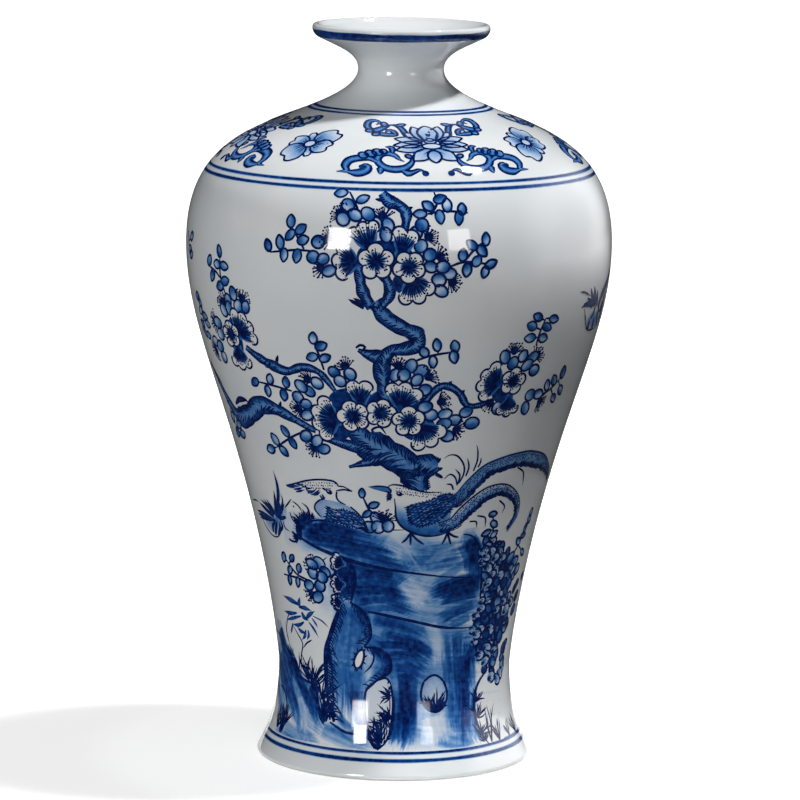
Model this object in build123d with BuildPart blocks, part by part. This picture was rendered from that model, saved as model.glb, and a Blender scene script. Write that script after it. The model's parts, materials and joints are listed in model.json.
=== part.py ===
from build123d import *
import os

# Meiping vase of glazed porcelain, in millimetres.
# The vase stands on Z = 0, its axis is Z, and its sections are turned about that axis.
# A profile is drawn with the radius along its first axis and the height along its second.

# Ring foot
foot_contact_outer = 64.6  # outer edge of the band that touches the table
foot_contact_inner = 57.2  # inner edge of that band
foot_recess_radius = 54.6  # radius of the recess where it meets the base
foot_height = 7.5  # from the table to the joint with the wall
foot_edge_radius = 67.2  # the flare just above its rounded edge
foot_edge_height = 3.0
foot_round = 2.4  # how far the rounded edge runs out from the contact band

# Outline: radii at the turning places, and the rise from each place to the next
waist_radius = 56.8
waist_rise = 43.0
belly_radius = 103.7
belly_rise = 208.0
shoulder_radius = 65.0
shoulder_rise = 57.3
shoulder_slope = 25.2  # degrees above level
throat_radius = 20.8
throat_rise = 26.7
lip_radius = 43.1
lip_rise = 15.4  # from the throat to the lower edge of the lip
lip_slope = 25.7  # degrees above level, under the mouth
lip_edge_radius = 5.3  # rounding of the lip's lower edge
rim_radius = 1.8  # rounding of its top

# Pulls of the outline's curves, which set how full each stretch is
flare_pull_in = 3.65
flare_pull_up = 7.73
waist_pull_below = 26.9
waist_pull_above = 5.2
flank_pull_radius = 69.4
flank_pull_rise = 120.5  # above the waist
belly_pull_below = 57.8
belly_pull_above = 38.5
shoulder_pull_below = 19.2
shoulder_pull_above = 14.8
throat_pull_below = 12.1
throat_pull_above = 7.5
lip_pull = 11.4

# Walls and joints
wall = 4.8
lip_wall = 4.8
base_thickness = 6.0
seam_thickness = 1.2
seam_bead_radius = 1.6
body_seam_rise = 154.0  # above the waist
neck_seam_drop = 11.0  # below the throat

# Painted cobalt rings
paint_thickness = 0.2
paint_clearance = 0.3  # between the clay and the painted layer
fine_line_width = 1.2
neck_line_width = 1.9
neck_line_upper_drop = 17.3  # below the throat
neck_line_lower_drop = 18.5
shoulder_line_upper_rise = 38.3  # above the belly
shoulder_line_lower_rise = 35.4
foot_line_upper_height = 13.1
foot_line_lower_height = 9.5
mouth_band_start = 4.0  # degrees below the lip's widest place
mouth_band_sweep = 50.0

# Heights of the turning places
waist_height = foot_edge_height + waist_rise
belly_height = waist_height + belly_rise
shoulder_height = belly_height + shoulder_rise
throat_height = shoulder_height + throat_rise
body_seam_height = waist_height + body_seam_rise
neck_seam_height = throat_height - neck_seam_drop

# The outline's places as points
foot_edge = Vector(foot_edge_radius, foot_edge_height)
flare_pull = Vector(-flare_pull_in, flare_pull_up)
waist = Vector(waist_radius, waist_height)
belly = Vector(belly_radius, belly_height)
shoulder = Vector(shoulder_radius, shoulder_height)
throat = Vector(throat_radius, throat_height)
up = Vector(0, 1)
shoulder_run = Vector(-1, 0).rotate(Axis.Z, -shoulder_slope)
lip_run = Vector(1, 0).rotate(Axis.Z, lip_slope)

# The lip's lower edge is an arc that starts along the underside and ends upright at the widest place
lip_edge_low = Vector(
    lip_radius - lip_edge_radius * (1 - lip_run.Y),
    throat_height + lip_rise,
)
lip_height = lip_edge_low.Y + lip_edge_radius * lip_run.X
lip_edge_centre = Vector(lip_radius - lip_edge_radius, lip_height)
rim_centre = Vector(lip_radius - rim_radius, lip_height)
total_height = lip_height + rim_radius

# The outside, from the table to the top of the rim
with BuildLine() as outline:
    foot_under = Line((0, 0), (foot_contact_outer, 0))
    foot_rounding = Bezier(
        foot_under @ 1,
        foot_under @ 1 + Vector(foot_round, 0),
        foot_edge - flare_pull.normalized() * foot_edge_height / 2,
        foot_edge,
    )
    flare = Bezier(
        foot_edge,
        foot_edge + flare_pull,
        waist - up * waist_pull_below,
        waist,
    )
    flank = Bezier(
        waist,
        waist + up * waist_pull_above,
        Vector(flank_pull_radius, waist_height + flank_pull_rise),
        belly - up * belly_pull_below,
        belly,
    )
    upper_belly = Bezier(
        belly,
        belly + up * belly_pull_above,
        shoulder - shoulder_run * shoulder_pull_below,
        shoulder,
    )
    neck_sweep = Bezier(
        shoulder,
        shoulder + shoulder_run * shoulder_pull_above,
        throat - up * throat_pull_below,
        throat,
    )
    mouth_sweep = Bezier(
        throat,
        throat + up * throat_pull_above,
        lip_edge_low - lip_run * lip_pull,
        lip_edge_low,
    )
    lip_edge = CenterArc(lip_edge_centre, lip_edge_radius, lip_slope - 90, 90 - lip_slope)
    rim = CenterArc(rim_centre, rim_radius, 0, 90)

wall_curves = [flare, flank, upper_belly, neck_sweep, mouth_sweep]


def moved_in(curve, share, depth):
    # A place on a curve, moved square to the curve into the wall, or out of it by a negative depth
    tangent = curve % share
    return curve @ share + Vector(-tangent.Y, tangent.X) * depth


def place_at(height):
    # The curve of the outline that passes a height, and where on it
    level = Axis((0, height, 0), (1, 0, 0))
    for curve in wall_curves:
        crossings = curve.find_intersection_points(level)
        if crossings:
            return curve, curve.param_at_point(crossings[0])


# Everything inside the outline
with BuildSketch() as outside:
    with BuildLine():
        add(outline.line)
        Polyline(rim @ 1, (0, total_height), (0, 0))
    make_face()

# The hollow: the outline moved in by the wall, then the dish of the mouth up to the rim's inner side
mouth_turn = 135  # degrees round the rim, where the dish of the mouth runs into it
with BuildSketch() as hollow:
    with BuildLine() as hollow_line:
        for curve in wall_curves:
            end_wall = lip_wall if curve is mouth_sweep else wall
            points = []
            for step in range(9):
                share = step / 8
                points.append(moved_in(curve, share, wall + (end_wall - wall) * share))
            bore = Spline(points, tangents=[curve % 0, curve % 1])
            if curve is flare:
                bore_start = bore @ 0
        rim_inside = CenterArc(rim_centre, rim_radius, mouth_turn, 90 - mouth_turn)
        dish_pull = (rim_inside @ 0 - bore @ 1).length / 3
        Bezier(
            bore @ 1,
            bore @ 1 + lip_run * dish_pull,
            rim_inside @ 0 - rim_inside % 0 * dish_pull,
            rim_inside @ 0,
        )
        Polyline(rim_inside @ 1, (0, total_height), (0, bore_start.Y), bore_start)
    make_face()

# The clay wall in section
with BuildSketch() as clay:
    add(outside.sketch)
    add(hollow.sketch, mode=Mode.SUBTRACT)


def level_band(low, high):
    # A strip between two heights, wider than the vase, kept where it meets what is drawn
    with Locations((0, low)):
        Rectangle(
            2 * belly_radius + 2 * foot_edge_radius,
            high - low,
            align=(Align.CENTER, Align.MIN),
            mode=Mode.INTERSECT,
        )


def wall_section(low, high):
    with BuildSketch() as section:
        add(clay.sketch)
        level_band(low, high)
    return section.sketch


# Ring foot: the bottom of the outline, with the recess under the base cut out of it
with BuildPart() as foot_ring:
    with BuildSketch(Plane.XZ):
        add(outside.sketch)
        level_band(0, foot_height)
        Polygon(
            (0, 0),
            (foot_contact_inner, 0),
            (foot_recess_radius, foot_height),
            (0, foot_height),
            align=None,
            mode=Mode.SUBTRACT,
        )
    revolve(axis=Axis.Z)

# Base: fills the bore just above the foot and rests on the ring's inner ledge
with BuildPart() as base_floor:
    with BuildSketch(Plane.XZ):
        add(hollow.sketch)
        level_band(foot_height, foot_height + base_thickness)
    revolve(axis=Axis.Z)

# Lower wall, from the foot to the level joint below the belly
with BuildPart() as lower_body:
    with BuildSketch(Plane.XZ):
        add(wall_section(foot_height, body_seam_height))
    revolve(axis=Axis.Z)

# Upper wall, from that joint over the belly and shoulder to the neck's joint
with BuildPart() as upper_body:
    with BuildSketch(Plane.XZ):
        add(wall_section(body_seam_height + seam_thickness, neck_seam_height))
    revolve(axis=Axis.Z)

# Neck and mouth
with BuildPart() as neck:
    with BuildSketch(Plane.XZ):
        add(wall_section(neck_seam_height + seam_thickness, total_height))
    revolve(axis=Axis.Z)


def slip_seam(height):
    # Slip between two level joint faces, with the bead that squeezes out on the inside
    layer = wall_section(height, height + seam_thickness)
    inner_edge = layer.edges().sort_by(Axis.X)[0]
    with BuildSketch() as seam:
        with Locations(inner_edge.center()):
            Circle(seam_bead_radius)
        add(clay.sketch, mode=Mode.SUBTRACT)
        add(layer)
    return seam.sketch


with BuildPart() as body_seam:
    with BuildSketch(Plane.XZ):
        add(slip_seam(body_seam_height))
    revolve(axis=Axis.Z)

with BuildPart() as neck_seam:
    with BuildSketch(Plane.XZ):
        add(slip_seam(neck_seam_height))
    revolve(axis=Axis.Z)

# Cobalt band round the lower edge of the lip
with BuildPart() as mouth_band:
    with BuildSketch(Plane.XZ):
        with BuildLine():
            band_radius = lip_edge_radius + paint_clearance
            band_under = CenterArc(lip_edge_centre, band_radius, -mouth_band_start, -mouth_band_sweep)
            band_face = CenterArc(
                lip_edge_centre,
                band_radius + paint_thickness,
                -mouth_band_start,
                -mouth_band_sweep,
            )
            Line(band_under @ 0, band_face @ 0)
            Line(band_under @ 1, band_face @ 1)
        make_face()
    revolve(axis=Axis.Z)

# Painted rings: a thin strip along the outline, just clear of the clay
ring_lines = {
    "neck_line_upper": (throat_height - neck_line_upper_drop, neck_line_width),
    "neck_line_lower": (throat_height - neck_line_lower_drop, neck_line_width),
    "shoulder_line_upper": (belly_height + shoulder_line_upper_rise, fine_line_width),
    "shoulder_line_lower": (belly_height + shoulder_line_lower_rise, fine_line_width),
    "foot_line_upper": (foot_line_upper_height, fine_line_width),
    "foot_line_lower": (foot_line_lower_height, fine_line_width),
}

pieces = {
    "foot_ring": foot_ring,
    "base_floor": base_floor,
    "lower_body": lower_body,
    "body_seam": body_seam,
    "upper_body": upper_body,
    "neck_seam": neck_seam,
    "neck": neck,
    "mouth_band": mouth_band,
}

for name, (height, width) in ring_lines.items():
    curve, share = place_at(height)
    with BuildPart() as ring:
        with BuildSketch(Plane.XZ):
            with Locations(moved_in(curve, share, -paint_clearance - paint_thickness / 2)):
                Rectangle(width, paint_thickness, rotation=curve.tangent_angle_at(share))
        revolve(axis=Axis.Z)
    pieces[name] = ring

os.makedirs("parts", exist_ok=True)
for name, piece in pieces.items():
    piece.part.label = name
    export_step(piece.part, f"parts/{name}.step")

print("total height", round(total_height, 2))
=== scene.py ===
import json
import math
import bmesh
import bpy
import numpy as np
from mathutils import Matrix, Vector

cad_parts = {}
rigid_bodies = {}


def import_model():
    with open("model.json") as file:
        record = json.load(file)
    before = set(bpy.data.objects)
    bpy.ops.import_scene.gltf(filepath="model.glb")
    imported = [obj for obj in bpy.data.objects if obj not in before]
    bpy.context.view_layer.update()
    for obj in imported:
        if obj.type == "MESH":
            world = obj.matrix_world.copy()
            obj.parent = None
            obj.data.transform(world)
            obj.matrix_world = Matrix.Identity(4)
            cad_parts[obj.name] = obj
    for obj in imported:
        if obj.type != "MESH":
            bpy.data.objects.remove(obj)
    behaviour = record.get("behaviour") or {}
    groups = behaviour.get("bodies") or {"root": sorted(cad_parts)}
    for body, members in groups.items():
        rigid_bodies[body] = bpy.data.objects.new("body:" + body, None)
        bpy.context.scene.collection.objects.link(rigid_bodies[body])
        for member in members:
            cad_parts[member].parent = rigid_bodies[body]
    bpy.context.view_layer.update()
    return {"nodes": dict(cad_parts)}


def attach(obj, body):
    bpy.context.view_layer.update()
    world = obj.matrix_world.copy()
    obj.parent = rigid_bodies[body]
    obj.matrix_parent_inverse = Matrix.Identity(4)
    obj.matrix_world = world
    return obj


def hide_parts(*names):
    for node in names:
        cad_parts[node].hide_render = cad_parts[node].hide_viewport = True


# Blue and white meiping vase. Drawing is done in mm and in degrees, and Blender gets metres.
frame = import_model()
mm = 0.001
dice = np.random.default_rng(7)  # one seed for every uneven brush mark
print("frame loaded:", len(frame["nodes"]), "nodes")


# Turned outline of the wall

wallOutline = {  # radius and height, as the clay nodes are turned
    "contactInner": 57.2,
    "contactOuter": 64.6,
    "recessRadius": 54.6,
    "baseUnder": 7.5,
    "floorInside": 13.5,
    "footRound": 2.4,
    "footEdge": (67.2, 3.0),
    "flarePull": (-3.65, 7.73),
    "waist": (56.8, 46.0),
    "waistPulls": (26.9, 5.2),  # below and above
    "flankPull": (69.4, 166.5),
    "belly": (103.7, 254.0),
    "bellyPulls": (57.8, 38.5),
    "shoulder": (65.0, 311.3),
    "shoulderSlope": 25.2,  # degrees above level
    "shoulderPulls": (19.2, 14.8),
    "throat": (20.8, 338.0),
    "throatPulls": (12.1, 7.5),
    "lipRadius": 43.1,
    "lipRise": 15.4,
    "lipSlope": 25.7,
    "lipPull": 11.4,
    "lipEdgeRadius": 5.3,
    "rimRadius": 1.8,
    "rimTurn": 135.0,  # degrees round the rim to the dish of the mouth
    "wall": 4.8,
}


def curve(points, count):
    # a smooth run of points, pulled by the ones in the middle
    points = np.array(points, float)
    last = len(points) - 1
    share = np.linspace(0, 1, count)[:, None]
    weights = [math.comb(last, i) * share**i * (1 - share) ** (last - i) for i in range(last + 1)]
    return sum(weight * point for weight, point in zip(weights, points))


def arc(centre, radius, start, end, count):
    angle = np.radians(np.linspace(start, end, count))
    return np.array(centre) + radius * np.stack([np.cos(angle), np.sin(angle)], 1)


def heading(degrees):
    return np.array([math.cos(math.radians(degrees)), math.sin(math.radians(degrees))])


def outerWall(fineness):
    # the outside from the contact band to the top of the rim, with fineness points to a long stretch
    o = wallOutline
    up = np.array([0.0, 1.0])
    edge, waist, belly = np.array(o["footEdge"]), np.array(o["waist"]), np.array(o["belly"])
    shoulder, throat = np.array(o["shoulder"]), np.array(o["throat"])
    flarePull = np.array(o["flarePull"])
    run = heading(180 - o["shoulderSlope"])
    lipRun = heading(o["lipSlope"])
    lipLow = np.array([o["lipRadius"] - o["lipEdgeRadius"] * (1 - lipRun[1]), throat[1] + o["lipRise"]])
    lipHeight = lipLow[1] + o["lipEdgeRadius"] * lipRun[0]
    footing = np.array([o["contactOuter"], 0.0])
    underEdge = edge - flarePull / np.linalg.norm(flarePull) * edge[1] / 2
    stretches = [
        curve([footing, footing + (o["footRound"], 0), underEdge, edge], fineness // 8),
        curve([edge, edge + flarePull, waist - up * o["waistPulls"][0], waist], fineness // 3),
        curve([waist, waist + up * o["waistPulls"][1], o["flankPull"], belly - up * o["bellyPulls"][0],
               belly], fineness),
        curve([belly, belly + up * o["bellyPulls"][1], shoulder - run * o["shoulderPulls"][0], shoulder],
              fineness // 2),
        curve([shoulder, shoulder + run * o["shoulderPulls"][1], throat - up * o["throatPulls"][0], throat],
              fineness // 3),
        curve([throat, throat + up * o["throatPulls"][1], lipLow - lipRun * o["lipPull"], lipLow],
              fineness // 4),
        arc((o["lipRadius"] - o["lipEdgeRadius"], lipHeight), o["lipEdgeRadius"], o["lipSlope"] - 90, 0,
            fineness // 8),
        arc((o["lipRadius"] - o["rimRadius"], lipHeight), o["rimRadius"], 0, o["rimTurn"], fineness // 8),
    ]
    return stretches


def joined(stretches):
    return np.vstack([part[:-1] for part in stretches] + [stretches[-1][-1:]])


def outward(line):
    along = np.gradient(line, axis=0)
    along /= np.linalg.norm(along, axis=1)[:, None]
    return np.stack([along[:, 1], -along[:, 0]], 1)


wallLine = joined(outerWall(1200)[:-1])  # up to the lip's widest place
wallNormal = outward(wallLine)
wallRun = np.concatenate([[0], np.cumsum(np.linalg.norm(np.diff(wallLine, axis=0), axis=1))])


def radiusAt(run):
    return np.interp(run, wallRun, wallLine[:, 0])


def runAt(height):
    # how far up the wall a height is, measured along the clay
    return np.interp(height, wallLine[:, 1], wallRun)


# Camera at the photograph's place

photoView = {  # fitted to the vase's outline in the photograph
    "frame": 800,  # pixels
    "focal": 4685.9,  # pixels
    "place": (0.0, -2267.6, 530.1),
    "aim": (1.37, 0.0, 175.62),
    "roll": 0.66,  # degrees, the vase leans a little to the right
    "reach": (2130, 2420, 581),  # mm from the lens to where the wall can lie, and places tried between
}


def makeCamera():
    v = photoView
    data = bpy.data.cameras.new("photoCamera")
    data.sensor_width = 36.0
    data.lens = v["focal"] * data.sensor_width / v["frame"]
    data.clip_end = 50.0
    camera = bpy.data.objects.new("photoCamera", data)
    bpy.context.scene.collection.objects.link(camera)
    place, aim = Vector(v["place"]) * mm, Vector(v["aim"]) * mm
    turn = (aim - place).to_track_quat("-Z", "Y").to_matrix()
    turn = turn @ Matrix.Rotation(math.radians(v["roll"]), 3, "Z")
    camera.matrix_world = Matrix.Translation(place) @ turn.to_4x4()
    bpy.context.scene.camera = camera
    return np.array(turn)


cameraAxes = makeCamera()  # columns are right, up and back


def onWall(pixels):
    # where pixels of the photograph lie on the vase: radians from the front, and mm up the wall
    pixels = np.atleast_2d(np.array(pixels, float))
    middle = photoView["frame"] / 2
    right, up, back = cameraAxes.T
    across = (pixels[:, :1] - middle) / photoView["focal"]
    down = (pixels[:, 1:2] - middle) / photoView["focal"]
    ray = across * right - down * up - back
    ray /= np.linalg.norm(ray, axis=1)[:, None]
    start = np.array(photoView["place"])
    reach = np.linspace(*photoView["reach"])
    spots = start + reach[None, :, None] * ray[:, None, :]
    depth = np.hypot(spots[..., 0], spots[..., 1])
    depth = depth - np.interp(spots[..., 2], wallLine[:, 1], wallLine[:, 0])
    inside = depth < 0
    first = np.where(inside.any(axis=1), inside.argmax(axis=1), depth.argmin(axis=1))
    rows = np.arange(len(pixels))
    before, after = depth[rows, first - 1], depth[rows, first]
    part = np.where(inside.any(axis=1), before / (before - after), 1.0)
    spot = start + (reach[first - 1] + part * (reach[1] - reach[0]))[:, None] * ray
    return np.stack([np.arctan2(spot[:, 0], -spot[:, 1]), runAt(spot[:, 2])], 1)


# Materials

def linear(hexColour):
    # sRGB hex to the linear values that sockets take
    parts = [int(hexColour[i:i + 2], 16) / 255 for i in (1, 3, 5)]
    return tuple(c / 12.92 if c <= 0.04045 else ((c + 0.055) / 1.055) ** 2.4 for c in parts) + (1.0,)


def addNode(material, kind, settings=None, **inputs):
    # one node with its settings; an input is a value or another node's output socket
    node = material.node_tree.nodes.new(kind)
    for name, value in (settings or {}).items():
        setattr(node, name, value)
    for name, value in inputs.items():
        socket = node.inputs[name.replace("_", " ")]
        if isinstance(value, bpy.types.NodeSocket):
            material.node_tree.links.new(value, socket)
        else:
            socket.default_value = value
    return node


def newMaterial(name):
    material = bpy.data.materials.new(name)
    material.use_nodes = True
    material.node_tree.nodes.clear()
    return material


def setRamp(ramp, stops):
    # stops are (place, hex colour), in order
    elements = ramp.color_ramp.elements
    while len(elements) < len(stops):
        elements.new(0.5)
    for element, (place, hexColour) in zip(elements, stops):
        element.position = place
        element.color = linear(hexColour)


glazeLook = {
    "white": "#e6e9ea",
    "cool": "#dfe4e7",
    "biscuit": "#d9cfc0",
    "cloudSize": 38.0,  # mm, slow change in the white
    "orangePeel": 3.2,  # mm, the faint ripple of fired glaze
    "rippleHeight": 0.05,  # mm
    "rippleStrength": 0.02,
    "roughness": 0.06,
    "biscuitRoughness": 0.75,
    "glazeStart": (0.3, 0.9),  # mm above the table, where the bare foot ends
    "index": 1.5,
}


def glazedPorcelain():
    # porcelain under clear feldspar glaze, fired to a wet shine: cool white, hardly any ripple,
    # and the bare contact band of the foot is matt and a little warm
    material = newMaterial("glazedPorcelain")
    place = addNode(material, "ShaderNodeTexCoord").outputs["Object"]
    cloud = addNode(material, "ShaderNodeTexNoise", Vector=place, Scale=1 / (glazeLook["cloudSize"] * mm),
                    Detail=2.0)
    white = addNode(material, "ShaderNodeValToRGB", Fac=cloud.outputs["Fac"])
    setRamp(white, [(0.35, glazeLook["cool"]), (0.65, glazeLook["white"])])
    height = addNode(material, "ShaderNodeSeparateXYZ", Vector=place).outputs["Z"]
    glazed = addNode(material, "ShaderNodeMapRange", Value=height, From_Min=glazeLook["glazeStart"][0] * mm,
                     From_Max=glazeLook["glazeStart"][1] * mm)
    colour = addNode(material, "ShaderNodeMix", {"data_type": "RGBA"})
    links = material.node_tree.links
    links.new(glazed.outputs["Result"], colour.inputs["Factor"])
    colour.inputs[6].default_value = linear(glazeLook["biscuit"])
    links.new(white.outputs["Color"], colour.inputs[7])
    gloss = addNode(material, "ShaderNodeMapRange", Value=glazed.outputs["Result"],
                    To_Min=glazeLook["biscuitRoughness"], To_Max=glazeLook["roughness"])
    ripple = addNode(material, "ShaderNodeTexNoise", Vector=place, Scale=1 / (glazeLook["orangePeel"] * mm),
                     Detail=1.0)
    bump = addNode(material, "ShaderNodeBump", Height=ripple.outputs["Fac"],
                   Strength=glazeLook["rippleStrength"], Distance=glazeLook["rippleHeight"] * mm)
    shader = addNode(material, "ShaderNodeBsdfPrincipled", Base_Color=colour.outputs[2],
                     Roughness=gloss.outputs["Result"], Normal=bump.outputs["Normal"],
                     IOR=glazeLook["index"])
    addNode(material, "ShaderNodeOutputMaterial", Surface=shader.outputs["BSDF"])
    return material


cobaltLook = {  # tone of the brushed cobalt, from bare glaze to the darkest line
    "tones": [(0.0, "#e2e6e8"), (0.16, "#b2c6e0"), (0.34, "#6f9bcd"), (0.56, "#316cb0"), (0.78, "#12438c"),
              (1.0, "#041850")],
    "poolSize": 2.6,  # mm, where the wet pigment gathered
    "pooling": 0.16,
    "roughness": 0.06,
}


def cobaltUnderglaze():
    # cobalt brushed on raw clay and glazed over: the tone follows how much pigment the brush left,
    # gathers in small pools, and keeps the glaze's wet shine
    material = newMaterial("cobaltUnderglaze")
    place = addNode(material, "ShaderNodeTexCoord").outputs["Object"]
    ink = addNode(material, "ShaderNodeAttribute", {"attribute_name": "ink"}).outputs["Fac"]
    pool = addNode(material, "ShaderNodeTexNoise", Vector=place, Scale=1 / (cobaltLook["poolSize"] * mm),
                   Detail=3.0)
    spread = addNode(material, "ShaderNodeMapRange", Value=pool.outputs["Fac"], From_Min=0.25,
                     From_Max=0.75, To_Min=1 - cobaltLook["pooling"], To_Max=1 + cobaltLook["pooling"])
    tone = addNode(material, "ShaderNodeMath", {"operation": "MULTIPLY"})
    material.node_tree.links.new(ink, tone.inputs[0])
    material.node_tree.links.new(spread.outputs["Result"], tone.inputs[1])
    colour = addNode(material, "ShaderNodeValToRGB", Fac=tone.outputs["Value"])
    setRamp(colour, cobaltLook["tones"])
    shader = addNode(material, "ShaderNodeBsdfPrincipled", Base_Color=colour.outputs["Color"],
                     Roughness=cobaltLook["roughness"], IOR=glazeLook["index"])
    addNode(material, "ShaderNodeOutputMaterial", Surface=shader.outputs["BSDF"])
    return material


glaze = glazedPorcelain()
cobalt = cobaltUnderglaze()
print("materials made")


# Glazed body: one skin from the rim down the outside, under the foot, and up the inside

bodySkin = {"steps": 256, "fineness": 84, "floorRings": 10}


def finishPiece(name, mesh, material, nodes=()):
    piece = bpy.data.objects.new(name, mesh)
    bpy.context.scene.collection.objects.link(piece)
    mesh.materials.append(material)
    mesh.shade_smooth()
    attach(piece, "root")
    if nodes:
        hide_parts(*nodes)
    return piece


def bodyProfile():
    o = wallOutline
    outside = outerWall(bodySkin["fineness"])
    wallStretches = joined(outside[1:6])  # flare to the underside of the lip
    inside = wallStretches - outward(wallStretches) * o["wall"]
    inside = inside[(inside[:, 1] > o["floorInside"])]
    rimEnd = outside[-1][-1]
    rimAlong = outside[-1][-1] - outside[-1][-2]
    rimAlong /= np.linalg.norm(rimAlong)
    lipRun = heading(o["lipSlope"])
    pull = np.linalg.norm(rimEnd - inside[-1]) / 3
    dish = curve([rimEnd, rimEnd + rimAlong * pull, inside[-1] + lipRun * pull, inside[-1]], 10)
    shares = np.linspace(1, 0, bodySkin["floorRings"])[:, None]
    floor = np.hstack([inside[0, 0] * shares, np.full_like(shares, o["floorInside"])])
    under = np.hstack([o["recessRadius"] * shares, np.full_like(shares, o["baseUnder"])])[::-1]
    contact = np.array([(o["contactInner"], 0.0), ((o["contactInner"] + o["contactOuter"]) / 2, 0.0)])
    return np.vstack([under, contact, joined(outside), dish[1:-1], inside[::-1][::2], floor])


def glazedBody():
    bm = bmesh.new()
    line = bodyProfile()
    verts = [bm.verts.new((r * mm, 0.0, z * mm)) for r, z in line]
    edges = [bm.edges.new(pair) for pair in zip(verts, verts[1:])]
    bmesh.ops.spin(bm, geom=verts + edges, cent=(0, 0, 0), axis=(0, 0, 1), angle=2 * math.pi,
                   steps=bodySkin["steps"], use_merge=True)
    bmesh.ops.remove_doubles(bm, verts=bm.verts, dist=1e-6)
    bmesh.ops.recalc_face_normals(bm, faces=bm.faces)
    mesh = bpy.data.meshes.new("glazedBody")
    bm.to_mesh(mesh)
    bm.free()
    nodes = ["foot_ring", "base_floor", "lower_body", "body_seam", "upper_body", "neck_seam", "neck"]
    return finishPiece("glazedBody", mesh, glaze, nodes)


body = glazedBody()
print("glazed body:", len(body.data.polygons), "faces")


# Brushwork: every mark is a small grid laid on the unrolled wall, then the whole sheet is wrapped round

brushwork = {
    "lift": 0.04,  # mm, lowest paint above the glaze skin
    "liftStep": 0.010,  # mm, one layer over another
    "spacing": 1.3,  # mm, longest side of a mark's cells
    "outline": 1.1,  # mm, width of a drawn line
    "fineLine": 0.66,
    "pixelsPerMm": 2.04,  # of the photograph, at the vase
}
paint = {}  # one bmesh for each painted piece
brushMark = bpy.data.meshes.new("brushMark")
# where round the vase the drawing goes, whether it is mirrored, and the ending of its pieces' names
placing = {"turn": 0.0, "side": 1, "face": ""}


def lay(sheet, at, spots, ink, layer):
    # spots are rows and columns of places in mm round at, which is an angle and a run up the wall
    rows, columns = spots.shape[:2]
    sheet = sheet + placing["face"]
    bm = bmesh.new()
    tone = bm.verts.layers.float.new("ink")
    verts = bmesh.ops.create_grid(bm, x_segments=columns - 1, y_segments=rows - 1, size=0.5)["verts"]
    run = at[1] + spots[..., 1]
    angle = at[0] + spots[..., 0] / radiusAt(run)
    angle = placing["side"] * angle + math.radians(placing["turn"])
    ink = np.broadcast_to(ink, run.shape)
    if placing["side"] < 0:
        run, angle, ink = run[:, ::-1], angle[:, ::-1], ink[:, ::-1]
    lift = brushwork["lift"] + layer * brushwork["liftStep"]
    for vert, a, r, value in zip(verts, angle.ravel().tolist(), run.ravel().tolist(), ink.ravel().tolist()):
        vert.co = (a, r, lift)
        vert[tone] = value
    bm.to_mesh(brushMark)
    bm.free()
    if sheet not in paint:
        paint[sheet] = bmesh.new()
        paint[sheet].verts.layers.float.new("ink")
    paint[sheet].from_mesh(brushMark)


def smooth(points, spacing=None, closed=False):
    # a soft line through the points, in even steps
    spacing = spacing or brushwork["spacing"]
    p = np.array(points, float)
    ends = [p[-1:], p, p[:2]] if closed else [2 * p[:1] - p[1:2], p, 2 * p[-1:] - p[-2:-1]]
    p = np.vstack(ends)
    pieces = []
    for a, b, c, d in zip(p, p[1:], p[2:], p[3:]):
        steps = max(1, math.ceil(np.linalg.norm(c - b) / spacing))
        t = np.linspace(0, 1, steps, endpoint=False)[:, None]
        bend = (2 * a - 5 * b + 4 * c - d) * t**2 + (3 * b - a - 3 * c + d) * t**3
        pieces.append(0.5 * (2 * b + (c - a) * t + bend))
    pieces.append(p[-2:-1])
    return np.vstack(pieces)


def sides(line, closed=False):
    # unit directions square to a line, to its left
    if closed:
        ahead = np.roll(line[:-1], -1, axis=0) - np.roll(line[:-1], 1, axis=0)
        ahead = np.vstack([ahead, ahead[:1]])
    else:
        ahead = np.gradient(line, axis=0)
    ahead /= np.linalg.norm(ahead, axis=1)[:, None] + 1e-9
    return np.stack([-ahead[:, 1], ahead[:, 0]], 1)


def along(values, count):
    # a width or tone given at even places along a line, for each of its points
    values = np.atleast_1d(np.array(values, float))
    return np.interp(np.linspace(0, 1, count), np.linspace(0, 1, len(values)), values)


def stroke(sheet, at, points, width, ink=1.0, layer=0, tips=(0.4, 0.25), closed=False, rows=1,
           edgeInk=None):
    # one pull of the brush; width in mm is a number or a list along the line
    line = smooth(points, closed=closed)
    share = np.linspace(0, 1, len(line))
    half = along(width, len(line)) / 2
    if not closed:
        half = half * np.minimum(1, tips[0] + (1 - tips[0]) * share / 0.22)
        half = half * np.minimum(1, tips[1] + (1 - tips[1]) * (1 - share) / 0.3)
    across = np.linspace(-1, 1, rows + 1)[:, None, None]
    spots = line[None] + across * (half[:, None] * sides(line, closed))[None]
    tone = along(ink, len(line))[None]
    if edgeInk is not None:
        tone = tone + (edgeInk - tone) * np.abs(across[..., 0]) ** 2
    lay(sheet, at, spots, tone, layer)


def flat(pixels):
    # photograph pixels as an anchor on the wall and places in mm round it
    spots = onWall(pixels)
    at = (spots[:, 0].mean(), spots[:, 1].mean())
    return at, np.stack([(spots[:, 0] - at[0]) * radiusAt(spots[:, 1]), spots[:, 1] - at[1]], 1)


def line(sheet, pixels, width=None, **how):
    # a stroke through photograph pixels
    at, points = flat(pixels)
    stroke(sheet, at, points, width or brushwork["outline"], **how)


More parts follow.
